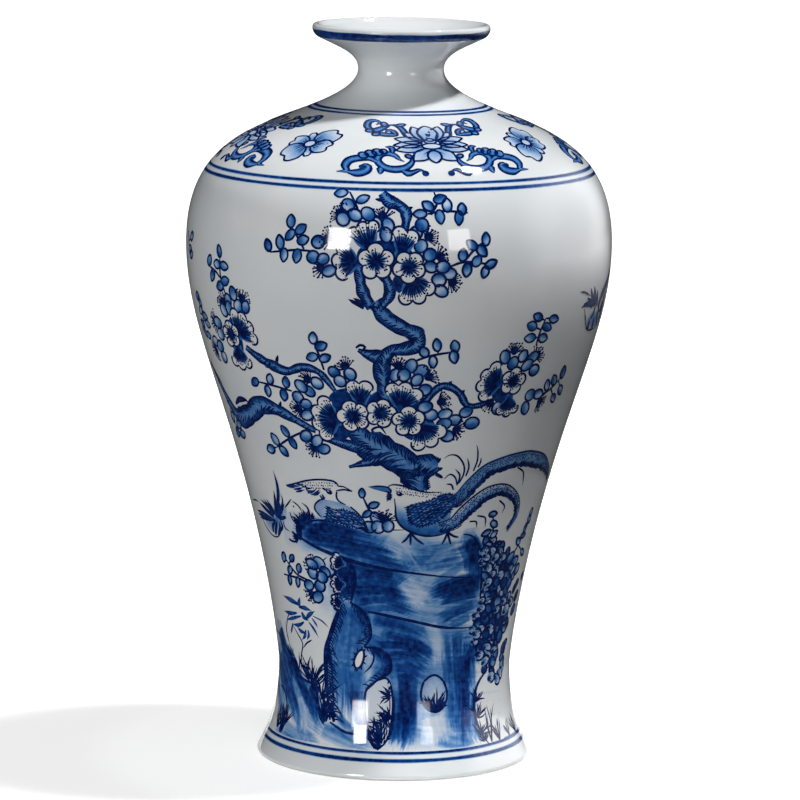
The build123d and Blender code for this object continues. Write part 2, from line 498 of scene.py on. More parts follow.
def fill(sheet, at, form, ink, layer, cells):
    # a filled shape: form gives a place for a share and an angle, and ink may be a function of them too
    a, b = np.meshgrid(np.linspace(-1, 1, cells + 1), np.linspace(-1, 1, cells + 1))
    share = np.maximum(abs(a), abs(b))
    safe = np.where(share == 0, 1, share)
    wide = abs(a) >= abs(b)
    level = math.pi / 4 * b / np.where(wide, np.where(a == 0, safe, a), 1) + (a < 0) * math.pi
    upright = math.pi / 2 - math.pi / 4 * a / np.where(wide, 1, b) + (b < 0) * math.pi
    angle = np.where(wide, level, upright)
    tone = ink(share, angle) if callable(ink) else ink
    lay(sheet, at, form(share, angle), tone, layer)


def edge(sheet, at, form, width, layer, start=0.0, end=360.0, ink=1.0):
    # a drawn line round a filled shape, or round part of it
    closed = end - start >= 360
    angle = np.radians(np.linspace(start, end, max(6, int((end - start) / 24)), endpoint=not closed))
    stroke(sheet, at, form(np.ones_like(angle), angle), width, ink=ink, layer=layer, closed=closed,
           tips=(0.7, 0.7))


def oval(length, width, turn=0.0, point=0.0, centre=(0.0, 0.0)):
    # an oval along turn, in degrees, drawn to a point at its far end where point is above 0
    c, s = heading(turn)

    def form(share, angle):
        u = length / 2 * share * np.cos(angle)
        v = width / 2 * share * np.sin(angle) * (1 - point * np.maximum(0, np.cos(angle)) ** 2)
        return np.stack([centre[0] + u * c - v * s, centre[1] + u * s + v * c], -1)

    return form


def dot(sheet, at, centre, radius, layer, ink=1.0):
    fill(sheet, at, oval(2 * radius, 2 * radius, centre=centre), ink, layer, 2)


# Leaves, buds and their sprays

leafStyle = {"length": 6.4, "width": 4.2, "dark": 0.74, "pale": 0.20, "twig": 1.25}
budStyle = {"length": 6.8, "width": 5.6, "dark": 0.68, "pale": 0.12}


def leaf(at, turn, layer, length=None, width=None, point=0.45, style=leafStyle):
    # mid blue at one end, thin wash at the other, navy round it
    length = (length or style["length"]) * dice.uniform(0.9, 1.1)
    width = (width or style["width"]) * dice.uniform(0.9, 1.1)
    form = oval(length, width, turn, point)
    lean = dice.uniform(0, 2 * math.pi)
    load = dice.uniform(0.25, 0.95)  # how much of the leaf the brush left pale
    dark, pale = style["dark"] * dice.uniform(0.8, 1.15), style["pale"] * dice.uniform(0.3, 1.9)

    def tone(share, angle):
        middle = dark + (pale - dark) * np.clip(load + 0.75 * share * np.cos(angle - lean), 0, 1)
        return middle + (dark - middle) * share**4 * 0.4

    fill("leafWash", at, form, tone, layer, 4)
    edge("leafLines", at, form, style.get("line", brushwork["outline"]) * dice.uniform(0.85, 1.1),
         layer + 0.6)


def spray(twig, leaves, layer=2, **size):
    # a thin twig with leaves that point away from it
    line("leafLines", twig, leafStyle["twig"], layer=layer, tips=(0.8, 0.6))
    twigAt = onWall(smooth(twig, 3.0))
    for place in onWall(leaves):
        apart = np.stack([(place[0] - twigAt[:, 0]) * radiusAt(place[1]), place[1] - twigAt[:, 1]], 1)
        near = apart[np.argmin(np.linalg.norm(apart, axis=1))]
        turn = math.degrees(math.atan2(near[1], near[0]))
        stroke("leafLines", tuple(place), [-near, -near * 0.3], leafStyle["twig"] * 0.8, layer=layer)
        leaf(tuple(place), turn, layer + 1, **size)


def awayFrom(heart, at):
    # the direction, in degrees, from a cluster's heart to a place on the wall
    middle = onWall(heart)[0]
    return math.degrees(math.atan2(at[1] - middle[1], (at[0] - middle[0]) * radiusAt(at[1])))


def buds(places, heart, layer=3):
    # round buds that turn their backs on the heart of the cluster
    for i, place in enumerate(onWall(places)):
        turn = awayFrom(heart, place) + dice.uniform(-25, 25)
        leaf(tuple(place), turn, layer + 0.8 * (i % 4), point=0.1, style=budStyle)


def tuft(place, heart, layer=3, count=13, length=5.4):
    # a half-open flower from the side: a dark cup, a fan of fine stamens and the dots at their ends
    at = tuple(onWall(place)[0])
    turn = awayFrom(heart, at)
    root = -0.55 * length * heading(turn)
    fill("heartWash", at, oval(0.85 * length, 0.8 * length, turn, centre=root * 0.45), 0.93, layer, 4)
    for spread in np.linspace(-70, 70, count):
        way = heading(turn + spread + dice.uniform(-5, 5))
        reach = length * dice.uniform(0.82, 1.06)
        stroke("blossomLines", at, [root, root + way * reach], brushwork["fineLine"], layer=layer + 0.6,
               tips=(1.0, 0.7))
        dot("blossomLines", at, root + way * (reach + dice.uniform(0.1, 1.0)), 0.55, layer + 0.8)


# Prunus blossoms

blossomStyle = {
    "petalReach": 0.56,  # shares of the blossom's radius
    "petalLength": 0.44,
    "petalWidth": 0.46,
    "notch": 0.70,
    "heart": 0.52,
    "stamens": 30,
    "stamenReach": 0.72,
    "dotSize": 0.52,  # mm
}


def blossom(place, radius, layer, turn=None):
    # five round white petals, deep notches between them, and a dark burst of stamens; radius in pixels
    at = tuple(onWall(place)[0])
    size = radius / brushwork["pixelsPerMm"]
    turn = dice.uniform(0, 72) if turn is None else turn
    b = blossomStyle
    for i in range(5):
        way = turn + 72 * i + dice.uniform(-4, 4)
        wide = 2 * size * b["petalWidth"] * dice.uniform(0.94, 1.06)
        petal = oval(2 * size * b["petalLength"], wide, way, centre=size * b["petalReach"] * heading(way))
        fill("petalWhite", at, petal, 0.0, layer + 0.06 * i, 6)
        edge("blossomLines", at, petal, brushwork["outline"], layer + 0.5, start=-86, end=86)
        between = heading(turn + 72 * i + 36) * size
        stroke("blossomLines", at, [between * (b["notch"] + 0.04), between * b["heart"]], 0.8,
               layer=layer + 0.6, tips=(1.0, 0.5))
    heart = oval(2 * size * b["heart"], 2 * size * b["heart"], turn)
    fill("heartWash", at, heart, lambda share, angle: np.clip(1.25 - 1.1 * share, 0.15, 1), layer + 1.0, 8)
    for spread in np.linspace(0, 360, b["stamens"], endpoint=False):
        way = heading(spread + dice.uniform(-5, 5))
        reach = size * b["stamenReach"] * dice.uniform(0.62, 1.0)
        stroke("blossomLines", at, [way * 0.05 * size, way * reach], brushwork["fineLine"],
               layer=layer + 1.6, tips=(1.0, 0.5))
        if dice.uniform() < 0.55:
            dot("blossomLines", at, way * (reach + 0.6), b["dotSize"], layer + 1.7)


def fan(place, radius, start, end, layer, lobes=4):
    # a blossom turned away: white petals in a row behind a dark fan of stamens; start and end in degrees
    at = tuple(onWall(place)[0])
    size = radius / brushwork["pixelsPerMm"]
    step = (end - start) / lobes
    swell = 1.18 * math.sin(math.radians(step / 2))
    meet = 58 + step / 2  # degrees from a petal's tip to where the next one covers it
    reach = size / (1 + swell)
    for i in range(lobes):
        way = start + (i + 0.5) * step
        swollen = swell * dice.uniform(0.92, 1.08)
        petal = oval(2 * reach * swollen, 2 * reach * swell, way, centre=reach * heading(way))
        fill("petalWhite", at, petal, 0.0, layer + 0.06 * i, 6)
        edge("blossomLines", at, petal, brushwork["outline"], layer + 0.5, start=-meet if i else -100,
             end=meet if i < lobes - 1 else 100)
        if i:
            between = heading(start + i * step) * reach
            stroke("blossomLines", at, [between, between * 0.8], 0.8, layer=layer + 0.6, tips=(1.0, 0.6))
    middle, half = math.radians((start + end) / 2), math.radians((end - start) / 2)

    def wedge(share, angle):
        # the dark fan: a disc squeezed into the wedge
        spread = np.abs((angle - middle + math.pi) % (2 * math.pi) - math.pi)
        shape = np.where(spread <= half, 1.0, np.maximum(0.36, 1 - (spread - half) * 1.5))
        rim = share * reach * 0.90 * shape
        return np.stack([rim * np.cos(angle), rim * np.sin(angle)], -1)

    fill("heartWash", at, wedge, lambda share, angle: 1.0 - 0.52 * share, layer + 1.0, 10)
    count = max(10, int(abs(end - start) / 6.5))
    for spread in np.linspace(start + 2, end - 2, count):
        way = heading(spread + dice.uniform(-2, 2))
        far = reach * dice.uniform(0.88, 1.14)
        stroke("blossomLines", at, [way * 0.12 * size, way * 0.5 * size, way * far],
               brushwork["fineLine"] * 1.15, layer=layer + 1.5, tips=(1.0, 0.4))
        if dice.uniform() < 0.5:
            dot("blossomLines", at, way * (far + 0.7), blossomStyle["dotSize"], layer + 1.6)


# Branches

barkStyle = {
    "middle": 0.46,
    "edge": 0.82,
    "hatchSpacing": 1.1,  # mm
    "hatchReach": (0.42, 0.66),  # shares of the width, on the lit side and the shaded one
    "knobs": 0.34,
    "rims": 1.8,  # mm, the navy lines on both edges together
    "thorn": 1.9,  # mm
}


def knobbly(widths, count):
    # a limb's widths in mm, swollen here and there
    knots = np.arange(0, count + 3, 3)
    swell = np.interp(np.arange(count), knots, dice.uniform(-0.3, 1.0, len(knots)))
    return along(widths, count) / brushwork["pixelsPerMm"] * (1 + barkStyle["knobs"] * swell)


def branch(pixels, widths, layer=1):
    # a knobbly limb: navy edge, mid blue body, short curved hatches from both sides; widths in pixels
    at, points = flat(pixels)
    middle = smooth(points)
    wide = np.maximum(knobbly(widths, len(middle)) - 0.8 * barkStyle["rims"], 0.5)
    aside = sides(middle)
    stroke("branchEdge", at, points, wide + barkStyle["rims"], layer=layer, tips=(0.85, 0.7), rows=2)
    stroke("branchWash", at, points, wide - 0.2, ink=barkStyle["middle"], layer=layer + 1, tips=(0.9, 0.6),
           rows=6, edgeInk=barkStyle["edge"])
    gone = np.concatenate([[0], np.cumsum(np.linalg.norm(np.diff(middle, axis=0), axis=1))])
    for hand in (-1, 1):
        rim = middle + hand * wide[:, None] / 2 * aside
        for mark in np.arange(0.6, gone[-1] - 0.6, barkStyle["hatchSpacing"]):
            i = min(len(middle) - 2, np.searchsorted(gone, mark))
            ahead = (middle[i + 1] - middle[i]) / (np.linalg.norm(middle[i + 1] - middle[i]) + 1e-9)
            foot = np.array([np.interp(mark, gone, rim[:, k]) for k in (0, 1)])
            depth = wide[i] * barkStyle["hatchReach"][hand < 0] * dice.uniform(0.35, 1.0)
            inward = -hand * aside[i] * depth
            hatch = [foot, foot + 0.6 * inward + 0.2 * depth * ahead, foot + inward + 0.65 * depth * ahead]
            stroke("branchLines", at, hatch, brushwork["fineLine"] * 1.2, layer=layer + 2, tips=(1.0, 0.15))


# Prunus tree, placed by pixels of the photograph

crown = {  # the upper cluster
    "heart": (392, 262),
    "blossoms": [((376, 261.5), 18, 20), ((409, 267), 16, 50)],
    "fans": [((357, 262), 25, 118, 238, 3), ((370, 250), 28, 72, 148, 3), ((401, 255), 27, 42, 112, 2),
             ((411, 277), 27, -120, -16, 3)],
    "buds": [(348, 205), (355, 215), (343, 219), (368, 214), (376, 224), (388, 225), (386, 235), (422, 225),
             (416, 233), (421, 246), (431, 267), (443, 267), (430, 255), (450, 274), (439, 280), (441, 291),
             (318, 242), (313, 257), (323, 259), (329, 271)],
    "tufts": [(338, 211), (382, 213), (431, 235), (443, 256), (455, 283), (318, 268), (326, 237)],
}
middleTier = {  # the wide cluster over the trunk
    "heart": (382, 415),
    "blossoms": [((353, 416), 17, 36), ((381, 413), 15.5, 0), ((408.5, 421), 16.5, 20)],
    "fans": [((337, 420), 28, 104, 250, 4), ((361, 405), 27, 56, 128, 2), ((400, 408), 28, 26, 128, 3),
             ((421, 425), 27, -112, -4, 3)],
    "buds": [(334, 372), (350, 374), (340, 381), (301, 386), (317, 383), (309, 391), (298, 397), (306, 404),
             (307, 415), (411, 366), (395, 375), (404, 375), (421, 371), (417, 380), (425, 390), (425, 407),
             (431, 415), (445, 414), (439, 430), (444, 424), (455, 420), (447, 436), (466, 412), (472, 423),
             (306, 436), (317, 441), (324, 449)],
    "tufts": [(343, 364), (305, 378), (431, 375), (399, 363), (444, 401), (459, 430), (296, 408),
              (312, 449)],
}
leftTier = {
    "heart": (236, 330),
    "blossoms": [((231.5, 334), 14, 30)],
    "fans": [((239, 334), 26, -24, 112, 4), ((238, 347), 24, -140, -38, 3)],
    "buds": [(233, 293.6), (228, 300), (224, 310), (229, 308), (238, 306), (245.5, 307), (218, 322.4),
             (221, 334), (215.5, 341), (220.5, 346), (224.5, 357)],
    "tufts": [(242.6, 296), (222, 299), (213.8, 321), (216, 351)],
}
rightTier = {
    "heart": (508, 382),
    "blossoms": [((513, 381), 15, 10)],
    "fans": [((499, 383), 25, 94, 240, 4), ((509, 398), 20, -138, -36, 3)],
    "buds": [(505, 357), (513, 363), (523, 356), (527, 365), (533, 357), (534, 370), (530, 395), (538, 394),
             (497, 408), (525, 408)],
    "tufts": [(515, 348), (539, 353), (541, 402), (488, 405)],
}
sprays = [  # twig, then leaves
    ([(311, 251), (295, 250), (270, 252)], [(268, 245), (280, 242), (284, 255), (297, 256)]),
    ([(304, 249), (297, 236), (291, 226)], [(290, 235), (291, 221), (301, 229), (303, 240)]),
    ([(361, 219), (356, 205), (350, 192)], [(363, 199), (341, 193)]),
    ([(431, 215), (437, 203), (434, 192)], [(440, 199), (428, 206)]),
    ([(428, 214), (445, 211), (468, 213)], [(420, 214), (447, 205), (462, 209), (459, 218), (440, 217)]),
    ([(449, 267), (466, 262), (496, 265)], [(463, 255), (467, 270), (477, 261), (491, 264), (485, 272)]),
    ([(464, 262), (474, 250), (486, 240)], [(472, 245), (486, 239), (482, 251)]),
    ([(225.2, 293), (220.5, 276), (220, 256)],
     [(219.2, 251), (217, 264), (224, 266), (225, 281), (220, 286)]),
    ([(220.5, 278), (215.5, 271), (208.5, 265)], [(209.6, 260), (212.7, 275)]),
    ([(197.5, 291), (202, 312), (207.5, 339)],
     [(197.6, 296), (200, 302), (201, 310), (205, 316), (203, 323), (208, 324), (205, 331), (209, 335)]),
    ([(188.6, 230), (189.2, 244), (190.4, 258)], [(192, 236), (190.4, 249), (191.4, 254)]),
    ([(230, 408), (235, 422), (242, 438)], [(233, 417), (239, 424), (238, 432), (243, 434)]),
    ([(324, 370), (319, 355), (313, 341)], [(313, 338), (321, 346), (325, 358), (312, 357)]),
    ([(292, 391), (275, 386), (256, 381)], [(255, 382), (270, 379), (268, 391), (286, 382), (284, 395)]),
    ([(408, 364), (430, 356), (459, 351)], [(437, 345), (424, 352), (433, 362), (455, 346), (454, 357)]),
    ([(302, 432), (290, 438), (277, 447)], [(285, 431), (275, 439), (271, 449), (284, 451), (293, 443)]),
    ([(536, 345), (540, 332), (546, 318)],
     [(538, 317), (532, 326), (547, 327), (554, 319), (530, 338), (543, 338)]),
    ([(538, 396), (549, 390), (562, 376)], [(547, 385), (554, 380), (563, 372), (560, 390), (553, 398)]),
]
limbs = [  # middle line and widths, in pixels
    ([(382, 193), (389, 201), (398, 205), (406, 213), (405, 228), (400, 244)], [8, 11, 10, 9, 7, 7]),
    ([(358, 262), (360, 279), (363, 292), (372, 308)], [9, 10, 10, 12]),
    ([(378, 268), (388, 283), (389, 296), (378, 310)], [8, 9, 9, 10]),
    ([(374, 302), (384, 316), (400, 327), (416, 335), (417, 345), (404, 349), (391, 351), (383, 361),
      (382, 376), (386, 404)],
     [13, 15, 13, 13, 13, 12, 13, 15, 14, 13]),
    ([(383, 358), (370, 355), (358, 350)], [13, 10, 5]),
    ([(352, 428), (372, 446), (388, 454), (404, 463), (414, 475), (419, 492)], [16, 25, 28, 29, 31, 28]),
    ([(322, 438), (345, 444), (372, 452)], [5, 9, 13]),
    ([(384, 457), (364, 463), (349, 467)], [12, 8, 1]),
    ([(408, 468), (424, 466), (438, 466)], [26, 24, 19]),
    ([(246, 347), (257, 356), (270, 364), (287, 371), (303, 367), (320, 373), (336, 392)],
     [6, 8, 9, 8, 7, 7, 6]),
    ([(211, 362), (220, 382), (229, 401), (240, 417), (251, 413), (261, 405), (280, 411), (316, 431)],
     [6, 9, 13, 19, 18, 15, 12, 7]),
    ([(420, 408), (438, 388), (450, 387), (460, 394), (467, 405), (480, 405), (500, 396)],
     [6, 8, 8, 7, 6, 5, 4]),
]
thornTips = [  # tip, then foot
    ((375, 199), (386, 201)), ((413, 207), (404, 211)), ((424, 331), (417, 337)), ((348, 299), (364, 308)),
    ((353, 298), (366, 305)), ((278, 355), (276, 365)), ((254, 396), (256, 407)), ((281, 401), (279, 411)),
    ((441, 458), (436, 463)), ((443, 468), (436, 470)), ((443, 478), (436, 474)), ((436, 457), (430, 460)),
    ((424, 456), (414, 464)), ((452, 381), (447, 386)), ((465, 390), (460, 394)), ((379, 299), (386, 300)),
]
knots = [  # rings of bark round old scars, with widths in mm
    ([(236, 404), (239, 399.5), (245, 399.5), (249, 403)], [1.6, 3.4, 1.4]),
    ([(249, 402), (246, 408), (240, 409)], [1.2, 1.0]),
    ([(264, 364), (267, 361), (270, 364), (267, 367.5), (264.5, 365)], 0.9),
    ([(417, 330), (421, 328), (424, 332), (420, 336)], 1.0),
    ([(356, 348), (360, 345), (365, 347), (361, 352)], 1.4),
    ([(378, 436), (372, 430), (380, 427), (386, 434)], 1.2),
]


def cluster(c, layer=3):
    for place in c["tufts"]:
        tuft(place, c["heart"], layer)
    buds(c["buds"], c["heart"], layer + 1)
    for i, (place, radius, start, end, lobes) in enumerate(c["fans"]):
        fan(place, radius, start, end, layer + 5 + 2 * i, lobes)
    for i, (place, radius, turn) in enumerate(c["blossoms"]):
        blossom(place, radius, layer + 14 + 2.5 * i, turn)


def prunus():
    for pixels, widths in limbs:
        branch(pixels, widths)
    for tip, foot in thornTips:
        line("branchEdge", [foot, tip], barkStyle["thorn"], layer=1, tips=(1.0, 0.1))
    for pixels, width in knots:
        line("branchEdge", pixels, width, layer=4, tips=(0.7, 0.4))
    for twig, leaves in sprays:
        spray(twig, leaves)
    for tier in (crown, middleTier, leftTier, rightTier):
        cluster(tier)


# Rock: thin washes pulled dry with a flat brush, then drawn edges, cracks and holes

rockWash = {
    "left": -92.0,  # mm round the wall from the front
    "right": 66.0,
    "low": 13.6,  # mm, heights
    "high": 130.0,
    "cell": 0.62,  # mm
    "washes": [  # first thin washes: middle line and width in pixels, strength
        ([(300, 531), (340, 540), (390, 552), (430, 556), (480, 548)], 40, 0.34),
        ([(350, 590), (400, 597), (440, 602), (482, 600)], 62, 0.42),
        ([(374, 642), (420, 652), (476, 652)], 62, 0.40), ([(396, 700), (440, 706), (480, 706)], 76, 0.36),
        ([(306, 533), (340, 538), (380, 550), (412, 564)], 30, 0.52),
        ([(400, 550), (440, 556), (476, 552)], 34, 0.30), ([(472, 538), (476, 560), (474, 590)], 20, 0.55),
        ([(350, 582), (385, 588), (418, 598)], 42, 0.46), ([(480, 592), (455, 598), (432, 608)], 42, 0.46),
        ([(370, 626), (400, 638), (432, 656)], 34, 0.46), ([(384, 662), (405, 664), (428, 674)], 30, 0.46),
        ([(400, 672), (402, 705), (400, 744)], 28, 0.46), ([(456, 630), (460, 670), (462, 738)], 36, 0.44),
        ([(284, 652), (298, 690), (314, 730)], 32, 0.50), ([(335, 722), (360, 736), (388, 746)], 14, 0.36),
        ([(418, 690), (417, 738)], 16, 0.26), ([(368, 640), (384, 652)], 16, 0.46),
        ([(344, 558), (346, 580), (346, 604)], 20, 0.60),
        ([(352, 602), (350, 630), (348, 660), (351, 690), (350, 724)], 34, 0.44),
        ([(358, 690), (362, 716), (370, 738)], 14, 0.40),
        ([(376, 648), (384, 660), (376, 680), (362, 690)], 14, 0.40),
        ([(320, 522), (345, 528), (366, 534)], 10, 0.5), ([(340, 660), (340, 690), (343, 726)], 20, 0.30),
        ([(354, 670), (354, 694), (359, 726)], 17, 0.34), ([(322, 728), (345, 739), (374, 748)], 17, 0.46),
        ([(398, 712), (400, 735), (396, 750)], 20, 0.50), ([(412, 700), (410, 725), (408, 747)], 13, 0.46),
        ([(462, 712), (466, 732), (474, 750)], 20, 0.42), ([(276, 640), (282, 676), (288, 716)], 20, 0.5),
        ([(284, 726), (300, 738), (322, 744)], 16, 0.42), ([(286, 690), (300, 716), (326, 738)], 22, 0.36),
        ([(440, 738), (460, 744), (480, 746)], 12, 0.30),
    ],
    "strokes": [  # streaks over them
        ([(303, 530), (325, 528), (352, 535), (378, 541)], 9, 0.72),
        ([(304, 536), (335, 539), (365, 545), (395, 553)], 8, 0.58),
        ([(312, 541), (340, 546), (372, 549), (402, 557)], 7, 0.52),
        ([(330, 548), (360, 553), (390, 561), (412, 566)], 7, 0.58),
        ([(345, 556), (375, 562), (405, 569), (425, 573)], 6, 0.52),
        ([(318, 523), (340, 527), (362, 532)], 7, 0.66),
        ([(395, 550), (420, 553), (450, 546), (468, 540)], 10, 0.26),
        ([(400, 560), (430, 560), (458, 553), (472, 548)], 9, 0.32),
        ([(425, 567), (447, 563), (468, 557)], 8, 0.38),
        ([(470, 538), (477, 550), (479, 566), (477, 585)], 13, 0.80),
        ([(462, 545), (468, 560), (468, 577)], 9, 0.60), ([(353, 568), (380, 571), (405, 577)], 7, 0.52),
        ([(353, 576), (385, 579), (415, 587)], 7, 0.46), ([(353, 585), (380, 585), (408, 592)], 7, 0.58),
        ([(355, 594), (380, 592), (410, 600)], 6, 0.50), ([(358, 602), (385, 600), (418, 611)], 7, 0.58),
        ([(362, 611), (390, 608), (420, 617)], 6, 0.42),
        ([(478, 580), (460, 582), (440, 590), (425, 596)], 12, 0.80),
        ([(476, 592), (455, 596), (437, 601)], 11, 0.76), ([(474, 604), (455, 612), (440, 620)], 9, 0.55),
        ([(470, 616), (458, 622), (447, 626)], 8, 0.50), ([(470, 560), (445, 577), (428, 588)], 8, 0.32),
        ([(372, 622), (395, 626), (425, 638)], 6, 0.38), ([(385, 634), (410, 640), (434, 652)], 7, 0.58),
        ([(380, 645), (405, 646), (432, 658)], 7, 0.62), ([(388, 656), (410, 656), (430, 668)], 8, 0.54),
        ([(395, 668), (412, 668), (426, 676)], 8, 0.48), ([(402, 672), (404, 700), (402, 740)], 9, 0.58),
        ([(412, 676), (413, 700), (408, 735)], 8, 0.48), ([(397, 690), (396, 720), (390, 748)], 6, 0.55),
        ([(445, 640), (447, 665), (450, 690)], 9, 0.36),
        ([(457, 634), (458, 665), (460, 700), (458, 728)], 10, 0.54),
        ([(468, 640), (466, 670), (466, 705), (470, 738)], 9, 0.64),
        ([(450, 690), (452, 715), (456, 740)], 7, 0.42), ([(474, 690), (474, 720), (482, 745)], 6, 0.62),
        ([(478, 632), (474, 655), (478, 668)], 8, 0.55), ([(344, 558), (346, 580), (344, 602)], 16, 0.62),
        ([(352, 604), (350, 630), (348, 660), (352, 690), (350, 722)], 26, 0.24),
        ([(343, 606), (335, 632), (331, 655), (333, 690), (336, 722)], 9, 0.50),
        ([(362, 612), (367, 628), (364, 642)], 9, 0.40), ([(352, 690), (358, 715), (366, 738)], 9, 0.64),
        ([(338, 715), (350, 728), (375, 742)], 7, 0.48),
        ([(370, 649), (384, 656), (386, 668), (376, 680), (364, 690)], 9, 0.56),
        ([(330, 727), (350, 738), (378, 748)], 6, 0.34), ([(281, 650), (290, 690), (300, 722)], 13, 0.68),
        ([(290, 650), (300, 680), (315, 715), (325, 735)], 10, 0.58),
        ([(277, 668), (280, 700), (284, 730)], 10, 0.56), ([(300, 688), (310, 700), (318, 724)], 10, 0.54),
        ([(302, 702), (299, 725), (305, 738)], 7, 0.28), ([(420, 738), (450, 747), (475, 749)], 5, 0.22),
        ([(280, 628), (284, 645), (290, 662), (294, 684)], 16, 0.80),
        ([(279, 652), (283, 676), (290, 700)], 14, 0.66),
        ([(292, 664), (300, 680), (312, 692), (317, 712)], 12, 0.60),
        ([(314, 690), (319, 706), (321, 724)], 9, 0.62), ([(276, 728), (284, 738), (296, 744)], 10, 0.40),
        ([(480, 582), (462, 587), (442, 594)], 14, 0.66), ([(466, 540), (474, 552), (476, 574)], 12, 0.66),
        ([(302, 532), (330, 535), (364, 541)], 10, 0.55), ([(358, 572), (388, 576), (412, 584)], 8, 0.60),
        ([(356, 590), (384, 590), (410, 597)], 8, 0.62), ([(372, 618), (400, 624), (430, 634)], 8, 0.50),
        ([(392, 640), (416, 646), (438, 658)], 9, 0.56), ([(478, 640), (470, 660), (472, 690)], 12, 0.55),
        ([(404, 680), (406, 712), (402, 742)], 10, 0.55), ([(462, 660), (464, 700), (466, 742)], 10, 0.55),
        ([(352, 560), (346, 582), (346, 602)], 12, 0.50),
    ],
    "lights": [  # places left nearly bare
        ([(388, 536), (402, 548), (416, 566)], 20, 0.72), ([(404, 580), (414, 592), (428, 606)], 19, 0.80),
        ([(428, 566), (440, 556), (456, 548)], 10, 0.35), ([(430, 622), (438, 644), (440, 668)], 13, 0.75),
        ([(432, 716), (436, 732), (440, 748)], 26, 0.85), ([(300, 696), (303, 716), (304, 738)], 11, 0.80),
        ([(344, 730), (364, 742), (386, 750)], 8, 0.5),
    ],
}


def washRock():
    # the strokes add up on one fine sheet, so that thin places show the glaze and crossed ones go dark
    w = rockWash
    low, high = runAt(w["low"]), runAt(w["high"])
    at = (0.0, low)
    columns = int((w["right"] - w["left"]) / w["cell"])
    rows = int((high - low) / w["cell"])
    x, y = np.meshgrid(np.linspace(w["left"], w["right"], columns), np.linspace(0, high - low, rows))
    bare, reserve = np.ones_like(x), np.ones_like(x)
    for i, (pixels, width, strength) in enumerate(w["washes"] + w["strokes"] + w["lights"]):
        sheet = reserve if i >= len(w["washes"]) + len(w["strokes"]) else bare
        bristles = max(6, width)
        spots = onWall(pixels)
        path = smooth(np.stack([spots[:, 0] * radiusAt(spots[:, 1]), spots[:, 1] - low], 1), 1.0)
        half = width / brushwork["pixelsPerMm"] / 2 * 1.15
        near = ((x > path[:, 0].min() - half) & (x < path[:, 0].max() + half)
                & (y > path[:, 1].min() - half) & (y < path[:, 1].max() + half))
        away = np.stack([x[near], y[near]], 1)[:, None] - path[None]
        nearest = np.argmin((away**2).sum(-1), axis=1)
        offset = (away[np.arange(len(nearest)), nearest] * sides(path)[nearest]).sum(-1) / half
        share = nearest / (len(path) - 1)
        bristle = np.interp(offset, np.linspace(-1, 1, bristles), dice.uniform(0.56, 1.0, bristles))
        ragged = np.interp(offset, np.linspace(-1, 1, bristles), dice.uniform(0.72, 1.05, bristles))
        flow = np.interp(share, np.linspace(0, 1, 7), dice.uniform(0.75, 1.0, 7))
        crisp = 5 if i >= len(w["washes"]) and sheet is bare else 2
        body = np.clip((1.08 - np.abs(offset)) * crisp, 0, 1)
        body = body * np.clip((ragged - share) * 6 + 0.15, 0, 1) * np.clip(share * 12 + 0.3, 0, 1)
        spread = np.linalg.norm(away[np.arange(len(nearest)), nearest], axis=1) / half
        body = body * np.clip((1.25 - spread) * 4, 0, 1)
        sheet[near] = sheet[near] * (1 - strength * body * bristle * flow)
    ink = np.minimum(0.95, 1.12 * (1 - bare) * reserve)
    border = np.minimum.reduce([x - w["left"], w["right"] - x, y, (high - low) - y])
    lay("rockWash", at, np.stack([x, y], -1), ink * np.clip(border / 0.9, 0, 1), 0)


def hatchedEdge(pixels, width, hand, length, layer=2, spacing=1.7, sheet="rockLines", hatchInk=0.95):
    # a drawn edge with short hatches on one side, 1 for the left of its direction; length in mm
    at, points = flat(pixels)
    path = smooth(points, spacing)
    stroke(sheet, at, points, width, layer=layer + 0.5, tips=(0.5, 0.4))
    aside = sides(path)
    for i in range(1, len(path) - 1):
        ahead = path[i + 1] - path[i]
        ahead = ahead / (np.linalg.norm(ahead) + 1e-9)
        reach = length * dice.uniform(0.4, 1.0)
        inward = hand * aside[i] * reach
        foot = path[i]
        hatch = [foot, foot + 0.55 * inward + 0.2 * reach * ahead,
                 foot + 0.9 * inward + 0.6 * reach * ahead]
        stroke(sheet, at, hatch, brushwork["fineLine"] * 1.2, ink=hatchInk, layer=layer, tips=(1.0, 0.12))


def grass(place, count, length, lean=90.0, spread=60.0, layer=3, sheet="rockLines", width=0.85, ink=1.0):
    # blades from one root, length in pixels
    at = tuple(onWall(place)[0])
    for turn in np.linspace(lean - spread, lean + spread, count):
        reach = length / brushwork["pixelsPerMm"] * dice.uniform(0.6, 1.0)
        way, bend = heading(turn + dice.uniform(-8, 8)), heading(turn + dice.uniform(-30, 30))
        stroke(sheet, at, [way * 0.2, way * reach * 0.55, way * reach * 0.6 + bend * reach * 0.45], width,
               ink=ink, layer=layer, tips=(1.0, 0.1))


def region(points):
    # the inside of a drawn outline, as a form to fill
    rim = smooth(points, closed=True)
    reach, turn = np.linalg.norm(rim, axis=1), np.arctan2(rim[:, 1], rim[:, 0])
    order = np.argsort(turn)

    def form(share, angle):
        far = np.interp(angle, turn[order], reach[order], period=2 * math.pi)
        return np.stack([share * far * np.cos(angle), share * far * np.sin(angle)], -1)

    return form


def hole(pixels, ink, hatched, layer=2, width=1.2):
    # a bare hole worn through the rock
    at, points = flat(pixels)
    rim = smooth(points, closed=True)
    fill("holeWhite", at, region(points), lambda share, angle: ink * (0.5 + share), layer, 14)
    stroke("rockLines", at, points, width, layer=layer + 1.5, closed=True)
    for spot in rim[::2] if hatched else []:
        stroke("rockLines", at, [spot, spot * (1 + 2.2 / np.linalg.norm(spot))],
               brushwork["fineLine"] * 1.3, layer=layer + 1, tips=(1.0, 0.1))


